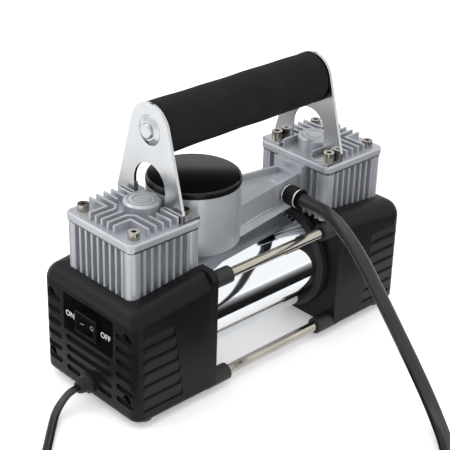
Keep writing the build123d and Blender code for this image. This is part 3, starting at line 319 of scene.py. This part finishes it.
def grown(name, tree, values, material, place):
    """Run a tree and keep its result as a plain mesh, moved to its place."""
    carrier = bpy.data.objects.new(name + "_carrier", bpy.data.meshes.new(name + "_base"))
    bpy.context.scene.collection.objects.link(carrier)
    modifier = carrier.modifiers.new("grow", "NODES")
    modifier.node_group = tree
    values = dict(values, Material=material)
    for item in tree.interface.items_tree:
        if item.in_out == "INPUT" and item.name in values:
            modifier[item.identifier] = values[item.name]
    result = bpy.data.meshes.new_from_object(
        carrier.evaluated_get(bpy.context.evaluated_depsgraph_get()))
    bpy.data.objects.remove(carrier)
    result.transform(place)
    piece = bpy.data.objects.new(name, result)
    piece.data.name = name
    bpy.context.scene.collection.objects.link(piece)
    print(name, len(result.polygons), "faces")
    return piece


def facing(point, axis):
    """The matrix that takes a shape built round +Z to a point and an axis."""
    return Matrix.Translation(Vector(point)) @ Vector(axis).to_track_quat("Z", "Y").to_matrix().to_4x4()


# %% Ribs round an axis
rib_tree, rib_in = new_tree("ribs_round_an_axis", {
    "Count": 18, "Radius": 0.006, "Length": 0.008, "Rib Radius": 0.0005})
circle = add_node(rib_tree, "GeometryNodeMeshCircle", {
    "Vertices": rib_in["Count"], "Radius": rib_in["Radius"]})
rib = add_node(rib_tree, "GeometryNodeMeshCylinder", {
    "Vertices": 8, "Radius": rib_in["Rib Radius"], "Depth": rib_in["Length"]})
ribs = add_node(rib_tree, "GeometryNodeInstanceOnPoints", {
    "Points": circle.outputs["Mesh"], "Instance": rib.outputs["Mesh"]})
close_tree(rib_tree, ribs.outputs["Instances"], rib_in["Material"])

# %% Rings in a row
ring_tree, ring_in = new_tree("rings_in_a_row", {
    "Count": 5, "Pitch": 0.002, "First Radius": 0.005, "Last Radius": 0.004, "Ring Radius": 0.0006})
row = add_node(ring_tree, "GeometryNodeMeshLine", {"Count": ring_in["Count"]})
index = add_node(ring_tree, "GeometryNodeInputIndex")
lift = add_node(ring_tree, "ShaderNodeMath", {0: index.outputs[0], 1: ring_in["Pitch"]}, operation="MULTIPLY")
last = add_node(ring_tree, "ShaderNodeMath", {0: ring_in["Count"], 1: 1.0}, operation="SUBTRACT")
share = add_node(ring_tree, "ShaderNodeMath", {0: index.outputs[0], 1: last.outputs[0]}, operation="DIVIDE")
size = add_node(ring_tree, "ShaderNodeMapRange", {
    "Value": share.outputs[0], "To Min": ring_in["First Radius"], "To Max": ring_in["Last Radius"]})
point_at = add_node(ring_tree, "ShaderNodeCombineXYZ", {"Z": lift.outputs[0]})
placed = add_node(ring_tree, "GeometryNodeSetPosition", {
    "Geometry": row.outputs["Mesh"], "Position": point_at.outputs[0]})
unit = add_node(ring_tree, "GeometryNodeCurvePrimitiveCircle", {"Resolution": 36, "Radius": 1.0})
grow = add_node(ring_tree, "ShaderNodeCombineXYZ", {
    "X": size.outputs[0], "Y": size.outputs[0], "Z": 1.0})
loops = add_node(ring_tree, "GeometryNodeInstanceOnPoints", {
    "Points": placed.outputs[0], "Instance": unit.outputs["Curve"], "Scale": grow.outputs[0]})
real_loops = add_node(ring_tree, "GeometryNodeRealizeInstances", {"Geometry": loops.outputs["Instances"]})
wire = add_node(ring_tree, "GeometryNodeCurvePrimitiveCircle", {
    "Resolution": 10, "Radius": ring_in["Ring Radius"]})
rings = add_node(ring_tree, "GeometryNodeCurveToMesh", {
    "Curve": real_loops.outputs[0], "Profile Curve": wire.outputs["Curve"]})
close_tree(ring_tree, rings.outputs[0], ring_in["Material"])
print("trees", rib_tree.name, len(rib_tree.nodes), "nodes,", ring_tree.name, len(ring_tree.nodes), "nodes")

# %% [markdown]
# ## Materials
# Every material begins with what the real one is and how its surface was made. The patterns read
# Object coordinates in metres, so a grain of 0.8 mm is a scale of 1250. Edges are where light tells
# moulded and cast parts from drawn ones, so a Bevel node rounds them for the shader alone.


# %% Material helpers
def start_material(name, code, roughness, **constants):
    """A Principled material, its tree and its shader."""
    material = bpy.data.materials.new(name)
    material.use_nodes = True
    tree = material.node_tree
    tree.nodes.clear()
    shader = add_node(tree, "ShaderNodeBsdfPrincipled", {"Base Color": linear(code), "Roughness": roughness})
    for key, value in constants.items():
        shader.inputs[key.replace("_", " ").title().replace("Ior", "IOR")].default_value = value
    add_node(tree, "ShaderNodeOutputMaterial", {"Surface": shader.outputs[0]})
    return material, tree, shader


def placed_at(tree, stretch=(1, 1, 1)):
    """Object coordinates in metres, scaled; a small scale along an axis draws a pattern out along it."""
    where = add_node(tree, "ShaderNodeTexCoord")
    mapped = add_node(tree, "ShaderNodeMapping", {"Vector": where.outputs["Object"], "Scale": stretch})
    return mapped.outputs[0]


def grains(tree, coords, size_mm, detail=2.0):
    """Soft noise whose spots are about size_mm across, from 0 to 1."""
    return add_node(tree, "ShaderNodeTexNoise", {
        "Vector": coords, "Scale": 1000 / size_mm, "Detail": detail}).outputs["Fac"]


def between(tree, value, low, high, start=0.3, end=0.7):
    """A value spread between two others."""
    return add_node(tree, "ShaderNodeMapRange", {
        "Value": value, "From Min": start, "From Max": end, "To Min": low, "To Max": high}).outputs[0]


def tinted(tree, value, code_a, code_b):
    """A colour between two hex colours."""
    return add_node(tree, "ShaderNodeMix", {
        "Factor": value, "A": linear(code_a), "B": linear(code_b)}, data_type="RGBA").outputs["Result"]


def relief(tree, shader, height, depth_mm, edge_mm=0.0):
    """Bump of a real depth, over edges that are rounded by edge_mm for the light."""
    inputs = {"Height": height, "Distance": depth_mm * MM, "Strength": 1.0}
    if edge_mm:
        inputs["Normal"] = add_node(tree, "ShaderNodeBevel", {"Radius": edge_mm * MM}, samples=4).outputs[0]
    bump = add_node(tree, "ShaderNodeBump", inputs)
    tree.links.new(bump.outputs[0], shader.inputs["Normal"])


def feed(tree, shader, **sockets):
    """Link computed values to the shader's sockets."""
    for key, value in sockets.items():
        tree.links.new(value, shader.inputs[key.replace("_", " ").title()])


finishes = {}

# %% [markdown]
# ### Moulded plastics
# The housings are ABS from a spark-eroded mould: satin black, with a fine even grain that breaks the
# highlights into a soft glow along each rounded edge. The real grain is about 0.1 mm; it is drawn
# near 0.7 mm, because finer would not show.


# %% Moulded ABS
def moulded_abs(name, code, worn, roughness, gloss, grain_mm, depth_mm, edge_mm):
    """Textured injection-moulded ABS; worn is the slightly greyer tone of rubbed spots."""
    material, tree, shader = start_material(name, code, roughness, specular_ior_level=gloss)
    coords = placed_at(tree)
    fine, broad = grains(tree, coords, grain_mm, 3.0), grains(tree, coords, 28.0, 2.0)
    feed(tree, shader,
         base_color=tinted(tree, between(tree, broad, 0.0, 1.0), code, worn),
         roughness=between(tree, broad, roughness - 0.04, roughness + 0.05))
    relief(tree, shader, fine, depth_mm, edge_mm)
    return material


# slot: name, colour, worn colour, roughness, gloss, grain in mm, depth in mm, edge in mm
for slot, look in {
        "black_plastic": ("moulded_abs_satin_black", "101112", "131415", 0.36, 0.14, 0.7, 0.018, 0.7),
        "plate_plastic": ("moulded_abs_end_plate", "101112", "131415", 0.42, 0.16, 0.6, 0.016, 0.6),
        "label_black": ("semi_gloss_abs_label", "040505", "060707", 0.22, 0.05, 1.2, 0.004, 0.3),
        "rocker_black": ("polished_nylon_switch", "08090A", "0B0C0D", 0.25, 0.14, 1.5, 0.003, 0.4),
        "gauge_black": ("polished_abs_bezel", "08090A", "0B0C0D", 0.22, 0.15, 1.4, 0.003, 0.3)}.items():
    finishes[slot] = moulded_abs(*look)
print("plastics", sorted(finishes))

# %% [markdown]
# ### Die-cast aluminium
# The heads, the finned cylinders and the air gallery are die castings, shot-blasted and clear
# coated. Blasting leaves a fine silver grain with slow changes of tone, so the metal is never a
# mirror: it glows on edges and stays mid grey in the slots.


# %% Cast aluminium
def die_cast(name, code, shade, roughness, metal, grain_mm, depth_mm, edge_mm):
    """Blasted or machined aluminium; metal below 1 lets the clear coat scatter some of the light."""
    material, tree, shader = start_material(name, code, roughness, metallic=metal)
    coords = placed_at(tree)
    fine, broad = grains(tree, coords, grain_mm, 3.0), grains(tree, coords, 18.0, 2.0)
    feed(tree, shader,
         base_color=tinted(tree, between(tree, broad, 0.0, 1.0), code, shade),
         roughness=between(tree, fine, roughness - 0.05, roughness + 0.06))
    relief(tree, shader, fine, depth_mm, edge_mm)
    return material


finishes["cast_aluminium"] = die_cast(
    "blasted_die_cast_aluminium", "B5B8BD", "ABAEB4", 0.34, 0.55, 0.8, 0.02, 0.5)
finishes["plain_aluminium"] = die_cast(
    "bare_machined_aluminium", "C9CBCD", "BCBFC2", 0.30, 1.0, 1.2, 0.006, 0.3)

# %% [markdown]
# ### Plated, turned and rolled steels
# Chrome plate is a mirror, so what it shows is the room. The tie rods are centreless ground, which
# leaves fine rings round them and draws their reflections out along the rod. The brackets are sheet
# under bright zinc, paler and softer, and the screws have a warmer nickel tone.


# %% Chrome plate
chrome, tree, shader = start_material("chrome_plated_tube", "E6E9EC", 0.05, metallic=1.0)
haze = grains(tree, placed_at(tree), 9.0, 2.0)
feed(tree, shader, roughness=between(tree, haze, 0.035, 0.075))
relief(tree, shader, haze, 0.004, 0.3)
finishes["chrome_shroud"] = chrome


# %% Brushed, ground and plated metals
def lined_metal(name, code, shade, roughness, lines_mm, depth_mm, stretch, edge_mm, spread=0.05):
    """Metal with tool lines: noise that is stretched along the direction of the work."""
    material, tree, shader = start_material(name, code, roughness, metallic=1.0)
    lines = grains(tree, placed_at(tree, stretch), lines_mm, 2.0)
    clouds = grains(tree, placed_at(tree), 14.0, 1.0)
    feed(tree, shader,
         base_color=tinted(tree, between(tree, clouds, 0.0, 1.0), code, shade),
         roughness=between(tree, lines, roughness - spread, roughness + spread))
    relief(tree, shader, lines, depth_mm, edge_mm)
    return material


# slot: name, colour, shaded colour, roughness, lines in mm, depth in mm, stretch, edge in mm
for slot, look in {
        "stainless": ("ground_stainless_rod", "B9B3AA", "ADA79E", 0.16, 0.8, 0.006, (1, 0.1, 0.1), 0.2),
        "bracket_chrome": (
            "satin_bright_zinc_sheet", "BEC0C2", "B8BABC", 0.2, 0.9, 0.0006, (1, 1, 0.25), 0.35, 0.01),
        "zinc_screw": ("nickel_plated_screw", "A8A39A", "9C968B", 0.15, 0.9, 0.003, (1, 1, 1), 0.25),
        "steel": ("bright_mild_steel", "BFC1C3", "B2B4B6", 0.26, 0.9, 0.005, (0.15, 1, 1), 0.3),
        "copper": ("drawn_copper", "C98B6B", "BB7D5D", 0.24, 0.8, 0.004, (0.2, 1, 1), 0.2),
        "bronze": ("sintered_bronze", "B08D57", "A07E4B", 0.38, 0.6, 0.012, (1, 1, 1), 0.2),
        "brass": ("turned_nickel_brass", "CDBF95", "BFB083", 0.2, 0.8, 0.004, (1, 0.15, 0.15), 0.25)}.items():
    finishes[slot] = lined_metal(*look)
print("plastics and metals", len(finishes))

# %% [markdown]
# ### Rubber, foam, cord and hose
# Soft materials scatter light at their surface, so they are rough and show almost no mirror image.
# The feet, sleeves and gland are moulded nitrile. The grip is a closed-cell foam tube, with a skin of
# tiny pits, about 1 mm here so that they show. The lead is PVC with a dull polish, and the hose is
# extruded rubber, smooth enough for one long soft highlight.


# %% Rubbers and foam
def soft_skin(name, code, worn, roughness, grain_mm, depth_mm, edge_mm=0.0, **constants):
    """A moulded or extruded polymer skin."""
    material, tree, shader = start_material(name, code, roughness, **constants)
    coords = placed_at(tree)
    fine, broad = grains(tree, coords, grain_mm, 4.0), grains(tree, coords, 16.0, 2.0)
    feed(tree, shader,
         base_color=tinted(tree, between(tree, broad, 0.0, 1.0), code, worn),
         roughness=between(tree, fine, roughness - 0.05, roughness + 0.07))
    relief(tree, shader, fine, depth_mm, edge_mm)
    return material


finishes["soft_rubber"] = soft_skin("moulded_nitrile_rubber", "141415", "1A1A1B", 0.55, 0.9, 0.02, 0.5)
finishes["foam"] = soft_skin(
    "closed_cell_eva_foam", "131314", "19191A", 0.9, 1.1, 0.11, specular_ior_level=0.2)
finishes["cord_pvc"] = soft_skin("extruded_pvc_lead", "101011", "151516", 0.38, 1.4, 0.008)
finishes["hose_rubber"] = soft_skin("extruded_rubber_hose", "131314", "19191A", 0.34, 1.0, 0.012)

# %% [markdown]
# ### Inner materials
# The motor, gauge and valve pieces are inside, but each is still what it is: dark ferrite magnets,
# laminations wound with varnished copper, carbon brushes, and a printed dial under smoked acrylic.
# The acrylic is the one smooth surface among them, so its roughness is a plain number: it shows the
# edge of a lamp or a card as one clean line.

# %% Inner finishes
finishes["magnet"] = soft_skin("sintered_ferrite", "3A3B3D", "323335", 0.6, 0.8, 0.02, 0.3)
finishes["carbon"] = soft_skin("pressed_carbon", "1D1D1E", "262628", 0.5, 0.7, 0.015, 0.2)
finishes["gasket"] = soft_skin("fibre_gasket", "2B2B2D", "333335", 0.8, 0.9, 0.02)
finishes["dial_white"] = soft_skin("printed_paper_dial", "E9E8E2", "E2E1DA", 0.55, 0.8, 0.003)
finishes["needle_red"] = soft_skin("painted_needle", "C23A2E", "B23328", 0.35, 1.5, 0.002, 0.1)

# %% Smoked lens
lens_finish, tree, shader = start_material("smoked_acrylic_lens", "07080A", 0.05, specular_ior_level=0.28)
haze = grains(tree, placed_at(tree), 6.0, 1.0)
feed(tree, shader, base_color=tinted(tree, haze, "07080A", "090A0C"))
relief(tree, shader, haze, 0.0, 0.35)
finishes["smoked_lens"] = lens_finish

# %% Varnished winding
WIRE_MM = 1.2
winding, tree, shader = start_material("varnished_copper_winding", "A5602F", 0.32, metallic=0.8)
strands = add_node(tree, "ShaderNodeTexWave", {
    "Vector": placed_at(tree), "Scale": 1000 / WIRE_MM / (2 * pi) * 3.0, "Distortion": 1.5, "Detail": 1.0},
    bands_direction="DIAGONAL")
feed(tree, shader, base_color=tinted(tree, strands.outputs["Fac"], "8A4A20", "B8703A"))
relief(tree, shader, strands.outputs["Fac"], 0.15)
finishes["winding"] = winding
print("all finishes", len(finishes))

# %% [markdown]
# ## Dressing the CAD pieces
# The record says which finish each piece has, so one loop puts it in the material slots. Meshes that
# came from CAD are never changed.

# %% Put each finish on its nodes
nodes = frame["nodes"]
for subpart in frame["record"]["subparts"]:
    piece = nodes[subpart["node"]]
    for slot in piece.material_slots:
        slot.material = finishes[subpart["material_slot"]]
print("dressed", len(nodes), "pieces in", len(finishes), "finishes")

# %% [markdown]
# ## Pieces made here
# The soft solids of the CAD model are only stand-ins, so the cord, the hose and the foam grip take
# their places. The grip is a foam tube that is pulled over the handle: nearly straight, with the slow
# unevenness that foam has, and rounded at the rims of its cut ends.

# %% Foam grip
grip_low, grip_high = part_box("foam_grip")
grip_radius = (grip_high.z - grip_low.z) / 2
grip_z = (grip_high.z + grip_low.z) / 2
tube_low, tube_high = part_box("handle_tube")
tube_radius = (tube_high.z - tube_low.z) / 2
grip_span = grip_high.x - grip_low.x
rim = 2.2 * MM
bore = tube_radius + 0.2 * MM
grip_profile = [(0, bore), (0, grip_radius - rim)]
grip_profile += [(rim * (1 - cos(radians(a))), grip_radius - rim * (1 - sin(radians(a))))
                 for a in range(15, 91, 15)]
STATIONS = 40      # rings between the two rims; they carry the small unevenness of a foam tube
for i in range(1, STATIONS):
    share = i / STATIONS
    swell = 0.12 * MM * (sin(share * 23) + sin(share * 9.0 + 1.3))
    grip_profile.append((rim + (grip_span - 2 * rim) * share, grip_radius - 0.25 * MM + swell))
grip_profile += [(grip_span - rim * (1 - cos(radians(a))), grip_radius - rim * (1 - sin(radians(a))))
                 for a in range(90, 14, -15)]
grip_profile += [(grip_span, grip_radius - rim), (grip_span, bore), (0, bore)]
foam_grip = turned("foam_grip_tube", grip_profile, (grip_low.x, 0, grip_z), (1, 0, 0), steps=72)
foam_grip.data.materials.append(finishes["foam"])
print("foam grip", round(grip_span / MM, 1), "mm long,", len(foam_grip.data.polygons), "faces")

# %% [markdown]
# ### Hose nut, cord gland and tyre chuck
# Small grips have ribs, because fingers and moulds both need them. Each ring of ribs is one run of the
# same short tree with its own count, radius and rib size. The two bright bands are turned.

# %% Ribs and bright rings on the hose nut
nut_low, nut_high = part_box("hose_nut")
nut_x, nut_z = (nut_low.x + nut_high.x) / 2, (nut_low.z + nut_high.z) / 2
nut_radius, nut_end = (nut_high.z - nut_low.z) / 2, nut_low.y
nut_ribs = grown("hose_nut_ribs", rib_tree, {
    "Count": 24, "Radius": nut_radius - 0.25 * MM, "Length": 7 * MM, "Rib Radius": 0.45 * MM},
    finishes["gauge_black"], facing((nut_x, nut_end + 5.4 * MM, nut_z), (0, 1, 0)))
band_profile = [(along * MM, nut_radius + out * MM) for along, out in (
    (0, -1.5), (0, -0.1), (0.2, 0.1), (1.1, 0.1), (1.3, -0.1), (1.3, -1.5), (0, -1.5))]
nut_bands = joined("hose_nut_bands", [
    turned("band", band_profile, (nut_x, nut_end + offset * MM, nut_z), (0, 1, 0))
    for offset in (0.1, 10.2)])
nut_bands.data.materials.append(finishes["chrome_shroud"])

# %% Rings on the cord gland
gland_low, gland_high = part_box("cord_gland")
gland_rings = grown("cord_gland_rings", ring_tree, {
    "Count": 3, "Pitch": 1.6 * MM, "First Radius": 4.6 * MM, "Last Radius": 4.0 * MM,
    "Ring Radius": 0.45 * MM}, finishes["soft_rubber"],
    facing((gland_low.x + 5.0 * MM, 0, (gland_low.z + gland_high.z) / 2), (-1, 0, 0)))

# %% Grip ribs on the tyre chuck
chuck_low, chuck_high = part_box("chuck_body")
chuck_ribs = grown("chuck_grip_ribs", rib_tree, {
    "Count": 16, "Radius": 5.9 * MM, "Length": 11 * MM, "Rib Radius": 0.5 * MM},
    finishes["black_plastic"],
    facing((chuck_low.x + 8.5 * MM, (chuck_low.y + chuck_high.y) / 2, 7.5 * MM), (1, 0, 0)))

# %% [markdown]
# ### Marks on the switch end
# ON and OFF are printed on the label beside the switch. Text is a font curve, so it is made a mesh
# before it is turned to face -X and put in its place. The rocker has the usual ring, and a bar that
# lies flat, because the switch is mounted on its side. Both are moulded marks, greyer than the print.

# %% Lettering
label_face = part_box("switch_label")[0].x - 0.02 * MM
switch_low, switch_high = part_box("switch_body")
label_z = (switch_low.z + switch_high.z) / 2
face_west = Matrix(((0, 0, -1, 0), (-1, 0, 0, 0), (0, 1, 0, 0), (0, 0, 0, 1)))


def lettered(name, words, size, place):
    """Flat letters as a thin mesh."""
    curve = bpy.data.curves.new(name, "FONT")
    curve.body, curve.size, curve.extrude = words, size, 0.06 * MM
    curve.align_x, curve.align_y, curve.resolution_u = "CENTER", "CENTER", 3
    text = bpy.data.objects.new(name + "_text", curve)
    bpy.context.scene.collection.objects.link(text)
    mesh = bpy.data.meshes.new_from_object(text.evaluated_get(bpy.context.evaluated_depsgraph_get()))
    bpy.data.objects.remove(text)
    mesh.transform(Matrix.Translation(place) @ face_west)
    mesh.name = name
    piece = bpy.data.objects.new(name, mesh)
    bpy.context.scene.collection.objects.link(piece)
    return piece


ink, tree, shader = start_material("white_screen_print", "E4E5E6", 0.5)
speckle = grains(tree, placed_at(tree), 0.6, 2.0)
feed(tree, shader, base_color=tinted(tree, speckle, "DADCDD", "EDEEEF"))
label_words = joined("label_words", [
    lettered("word_on", "ON", 5.6 * MM, Vector((label_face, 17.6 * MM, label_z))),
    lettered("word_off", "OFF", 5.6 * MM, Vector((label_face, -17.4 * MM, label_z)))])
label_words.data.materials.append(ink)
print("letters", len(label_words.data.polygons), "faces")

# %% Bar and ring on the rocker
ROCKER_TILT = radians(9.0)                              # at rest, half of the rocker's travel
ROCKER_LIP, ROCKER_DIP, ROCKER_HALF = 2.6, 1.4, 8.0     # mm: rise at its ends and middle, half length
MARK_DEEP, MARK_PROUD = -0.3 * MM, 0.05 * MM            # how far a mark goes in and stands out
rocker_pivot = Vector(next(j for j in frame["joints"] if j["child"] == "rocker")["pos_m"])


def rocker_face(side):
    """The middle of one half of the rocker, its outward normal and its direction away from the pivot."""
    def leaned(x, y):
        return Vector((-(x * cos(ROCKER_TILT) + y * sin(ROCKER_TILT)),
                       y * cos(ROCKER_TILT) - x * sin(ROCKER_TILT), 0))
    inner, outer = leaned(ROCKER_DIP, 0), leaned(ROCKER_LIP, side * ROCKER_HALF)
    along = (outer - inner).normalized()
    normal = Vector((0, 0, 1)).cross(along) * side
    return rocker_pivot + (inner + outer) / 2 * MM, normal, along


centre, normal, along = rocker_face(-1)
flat_ring = [(MARK_DEEP, 1.1 * MM), (MARK_PROUD, 1.1 * MM), (MARK_PROUD, 1.55 * MM),
             (MARK_DEEP, 1.55 * MM), (MARK_DEEP, 1.1 * MM)]
ring_mark = turned("mark_off", flat_ring, centre, normal, steps=32, smooth=False)
centre, normal, along = rocker_face(1)
bar_half = 0.24 * MM
flat_bar = [(bar_half, MARK_DEEP), (bar_half, MARK_PROUD), (-bar_half, MARK_PROUD), (-bar_half, MARK_DEEP)]
bar_mark = swept("mark_on", [centre + along * 1.5 * MM, centre, centre - along * 1.5 * MM],
                 flat_bar, Vector((0, 0, 1)))
dull_ink, tree, shader = start_material("grey_moulded_mark", "8E8F90", 0.5)
speckle = grains(tree, placed_at(tree), 0.6, 2.0)
feed(tree, shader, base_color=tinted(tree, speckle, "868788", "969798"))
bar_mark.data.materials.append(dull_ink)
ring_mark.data.materials.append(dull_ink)
print("rocker marks on a pivot at", rocker_pivot)

# %% [markdown]
# ### Cast ridges on the air gallery
# A casting that carries air from both cylinders to the gauge is stiffened by low ridges that run
# along its wall from the hub. They follow the wall, so their height along it is all that is chosen.

# %% Ridges
WALL_START_X, WALL_LENGTH = -12.3, 63.35      # mm along X
WALL_HALF, WALL_TAPER = 19.5, 10.0            # mm: half width at the start, and how much it loses


def on_wall(x_mm, z_mm, side):
    """A point on the tapering side wall of the gallery."""
    return Vector((x_mm, side * (WALL_HALF - WALL_TAPER * (x_mm - WALL_START_X) / WALL_LENGTH), z_mm)) * MM


ridge_lines = [[(-11.6, 89.4), (-1, 91.5), (7.5, 92.9), (15, 94.0), (23.7, 94.4)],
               [(-10.6, 93.4), (1, 94.3), (13.9, 94.6)]]
ridge_section = [(0.75 * MM * cos(radians(a)), 0.75 * MM * sin(radians(a))) for a in range(0, 360, 45)]
ridges = joined("gallery_ridges", [
    swept("ridge", smooth_line("ridge_line", [on_wall(x, z, side) for x, z in line], 6)[0],
          ridge_section, (0, 0, 1))
    for side in (-1, 1) for line in ridge_lines])
ridges.data.materials.append(finishes["cast_aluminium"])
print("gallery ridges", len(ridges.data.polygons), "faces")

# %% [markdown]
# ## Floor and light
# Small shiny products are lit like this: a white tent all round, a sheet of lit acrylic underneath and
# a soft lamp overhead. The table glows a little, so the shadow under the feet stays short and pale.

# %% Floor
FLOOR_REACH, FLOOR_Z = 6, -0.0003      # just under the feet, so that the two never share a plane
floor = piece_from("pale_floor", [
    (x * FLOOR_REACH, y * FLOOR_REACH, FLOOR_Z) for x, y in ((-1, -1), (1, -1), (1, 1), (-1, 1))],
    [(0, 1, 2, 3)], smooth=False)
floor_paint, tree, shader = start_material(
    "lit_acrylic_table", "F7F7F7", 0.7, emission_color=linear("FFFFFF"), emission_strength=0.25)
cloud = grains(tree, placed_at(tree), 300.0, 1.0)
feed(tree, shader, base_color=tinted(tree, cloud, "F5F5F5", "F9F9F9"))
floor.data.materials.append(floor_paint)
print("floor", 2 * FLOOR_REACH, "m wide at", FLOOR_Z)

# %% World and lamps
world = bpy.data.worlds.new("studio")
world.use_nodes = True
world.node_tree.nodes["Background"].inputs["Color"].default_value = linear("FFFFFF")
world.node_tree.nodes["Background"].inputs["Strength"].default_value = 1.15
bpy.context.scene.world = world
bpy.context.scene.view_settings.view_transform = "Standard"


def softbox(name, place, target, width, height, watts):
    """An area lamp that faces a point."""
    lamp = bpy.data.lights.new(name, "AREA")
    lamp.shape, lamp.size, lamp.size_y, lamp.energy = "RECTANGLE", width, height, watts
    holder = bpy.data.objects.new(name, lamp)
    aim = (Vector(target) - Vector(place)).to_track_quat("-Z", "Y")
    holder.matrix_world = Matrix.Translation(Vector(place)) @ aim.to_matrix().to_4x4()
    bpy.context.scene.collection.objects.link(holder)
    print("softbox", name, watts, "W")


softbox("overhead", (0.0, 0.1, 1.3), (0, 0, 0), 1.4, 1.0, 4)
softbox("left_rear", (-0.9, 0.7, 0.9), (0, 0, 0.1), 0.7, 0.7, 3)

# %% [markdown]
# ### Cards
# Black cards go wherever a surface would show too much white. A mirror that sees only white looks like
# paint, so two cards on the table, black near the motor and pale further out, give the chrome its
# bands. A third card darkens the switch end, and a fourth, high up behind, darkens the lens. Only
# reflections see them.

# %% Card materials
cloth, tree, shader = start_material("graded_card", "050505", 0.95, specular_ior_level=0.1)
place = add_node(tree, "ShaderNodeSeparateXYZ", {"Vector": placed_at(tree)})
outward = add_node(tree, "ShaderNodeMath", {0: place.outputs["Y"]}, operation="ABSOLUTE")
pale = add_node(tree, "ShaderNodeMapRange", {
    "Value": outward.outputs[0], "From Min": 0.16, "From Max": 0.70, "To Min": 0.0, "To Max": 1.0})
feed(tree, shader, base_color=tinted(tree, pale.outputs[0], "070707", "F2F2F4"))

velvet, tree, shader = start_material("black_velvet", "050505", 0.95, specular_ior_level=0.1)
nap = grains(tree, placed_at(tree), 40.0, 1.0)
feed(tree, shader, base_color=tinted(tree, nap, "040404", "080808"))


# %% Cards
def card(name, corners, material):
    """Cards of four corners each that only reflections see."""
    faces = [tuple(range(i, i + 4)) for i in range(0, len(corners), 4)]
    piece = piece_from(name, corners, faces, smooth=False)
    piece.data.materials.append(material)
    piece.visible_camera = piece.visible_shadow = piece.visible_diffuse = False
    return piece


TABLE_Z = 0.001
NEAR_Y, FAR_Y = 0.0885, 0.7065      # the pair starts beyond the side walls and goes well out of reach
table_corners = [
    (x, side * y, TABLE_Z) for side in (-1, 1)
    for x, y in ((-0.12, NEAR_Y), (1.6, NEAR_Y), (1.6, FAR_Y), (-0.12, FAR_Y))]
end_corners = [(x, y, TABLE_Z) for x, y in ((-0.148, -0.12), (-0.148, 0.30), (-0.235, 0.30), (-0.235, -0.12))]
high_corners = [(0.65, 1.35, 0.806), (1.25, 0.80, 0.806), (1.25, 0.80, 1.25), (0.65, 1.35, 1.25)]
cards = [card("graded_cards", table_corners, cloth), card("end_card", end_corners, velvet),
         card("high_card", high_corners, velvet)]
print("cards", [c.name for c in cards])

# %% [markdown]
# ## Joining the frame
# Each piece rides on the body that carries it, and the CAD stand-ins that the made pieces replace are hidden.
# The table lists a finish slot beside each piece, which the loop doesn't use.

# %% Ride and replace
power_cord.data.materials.append(finishes["cord_pvc"])
air_hose.data.materials.append(finishes["hose_rubber"])
ride_slots = {
    foam_grip: "foam", nut_ribs: "gauge_black", nut_bands: "chrome_shroud", gland_rings: "soft_rubber",
    chuck_ribs: "black_plastic", label_words: "dial_white", ridges: "cast_aluminium",
    power_cord: "cord_pvc", air_hose: "hose_rubber"}
for piece, slot in ride_slots.items():
    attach(piece, "frame")
for piece in (ring_mark, bar_mark):
    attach(piece, "rocker")

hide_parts("foam_grip")
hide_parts("power_cord", "power_cord_coil")
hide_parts("air_hose", "air_hose_coil")
print("riding on the frame", len(ride_slots), "pieces, on the rocker 2")
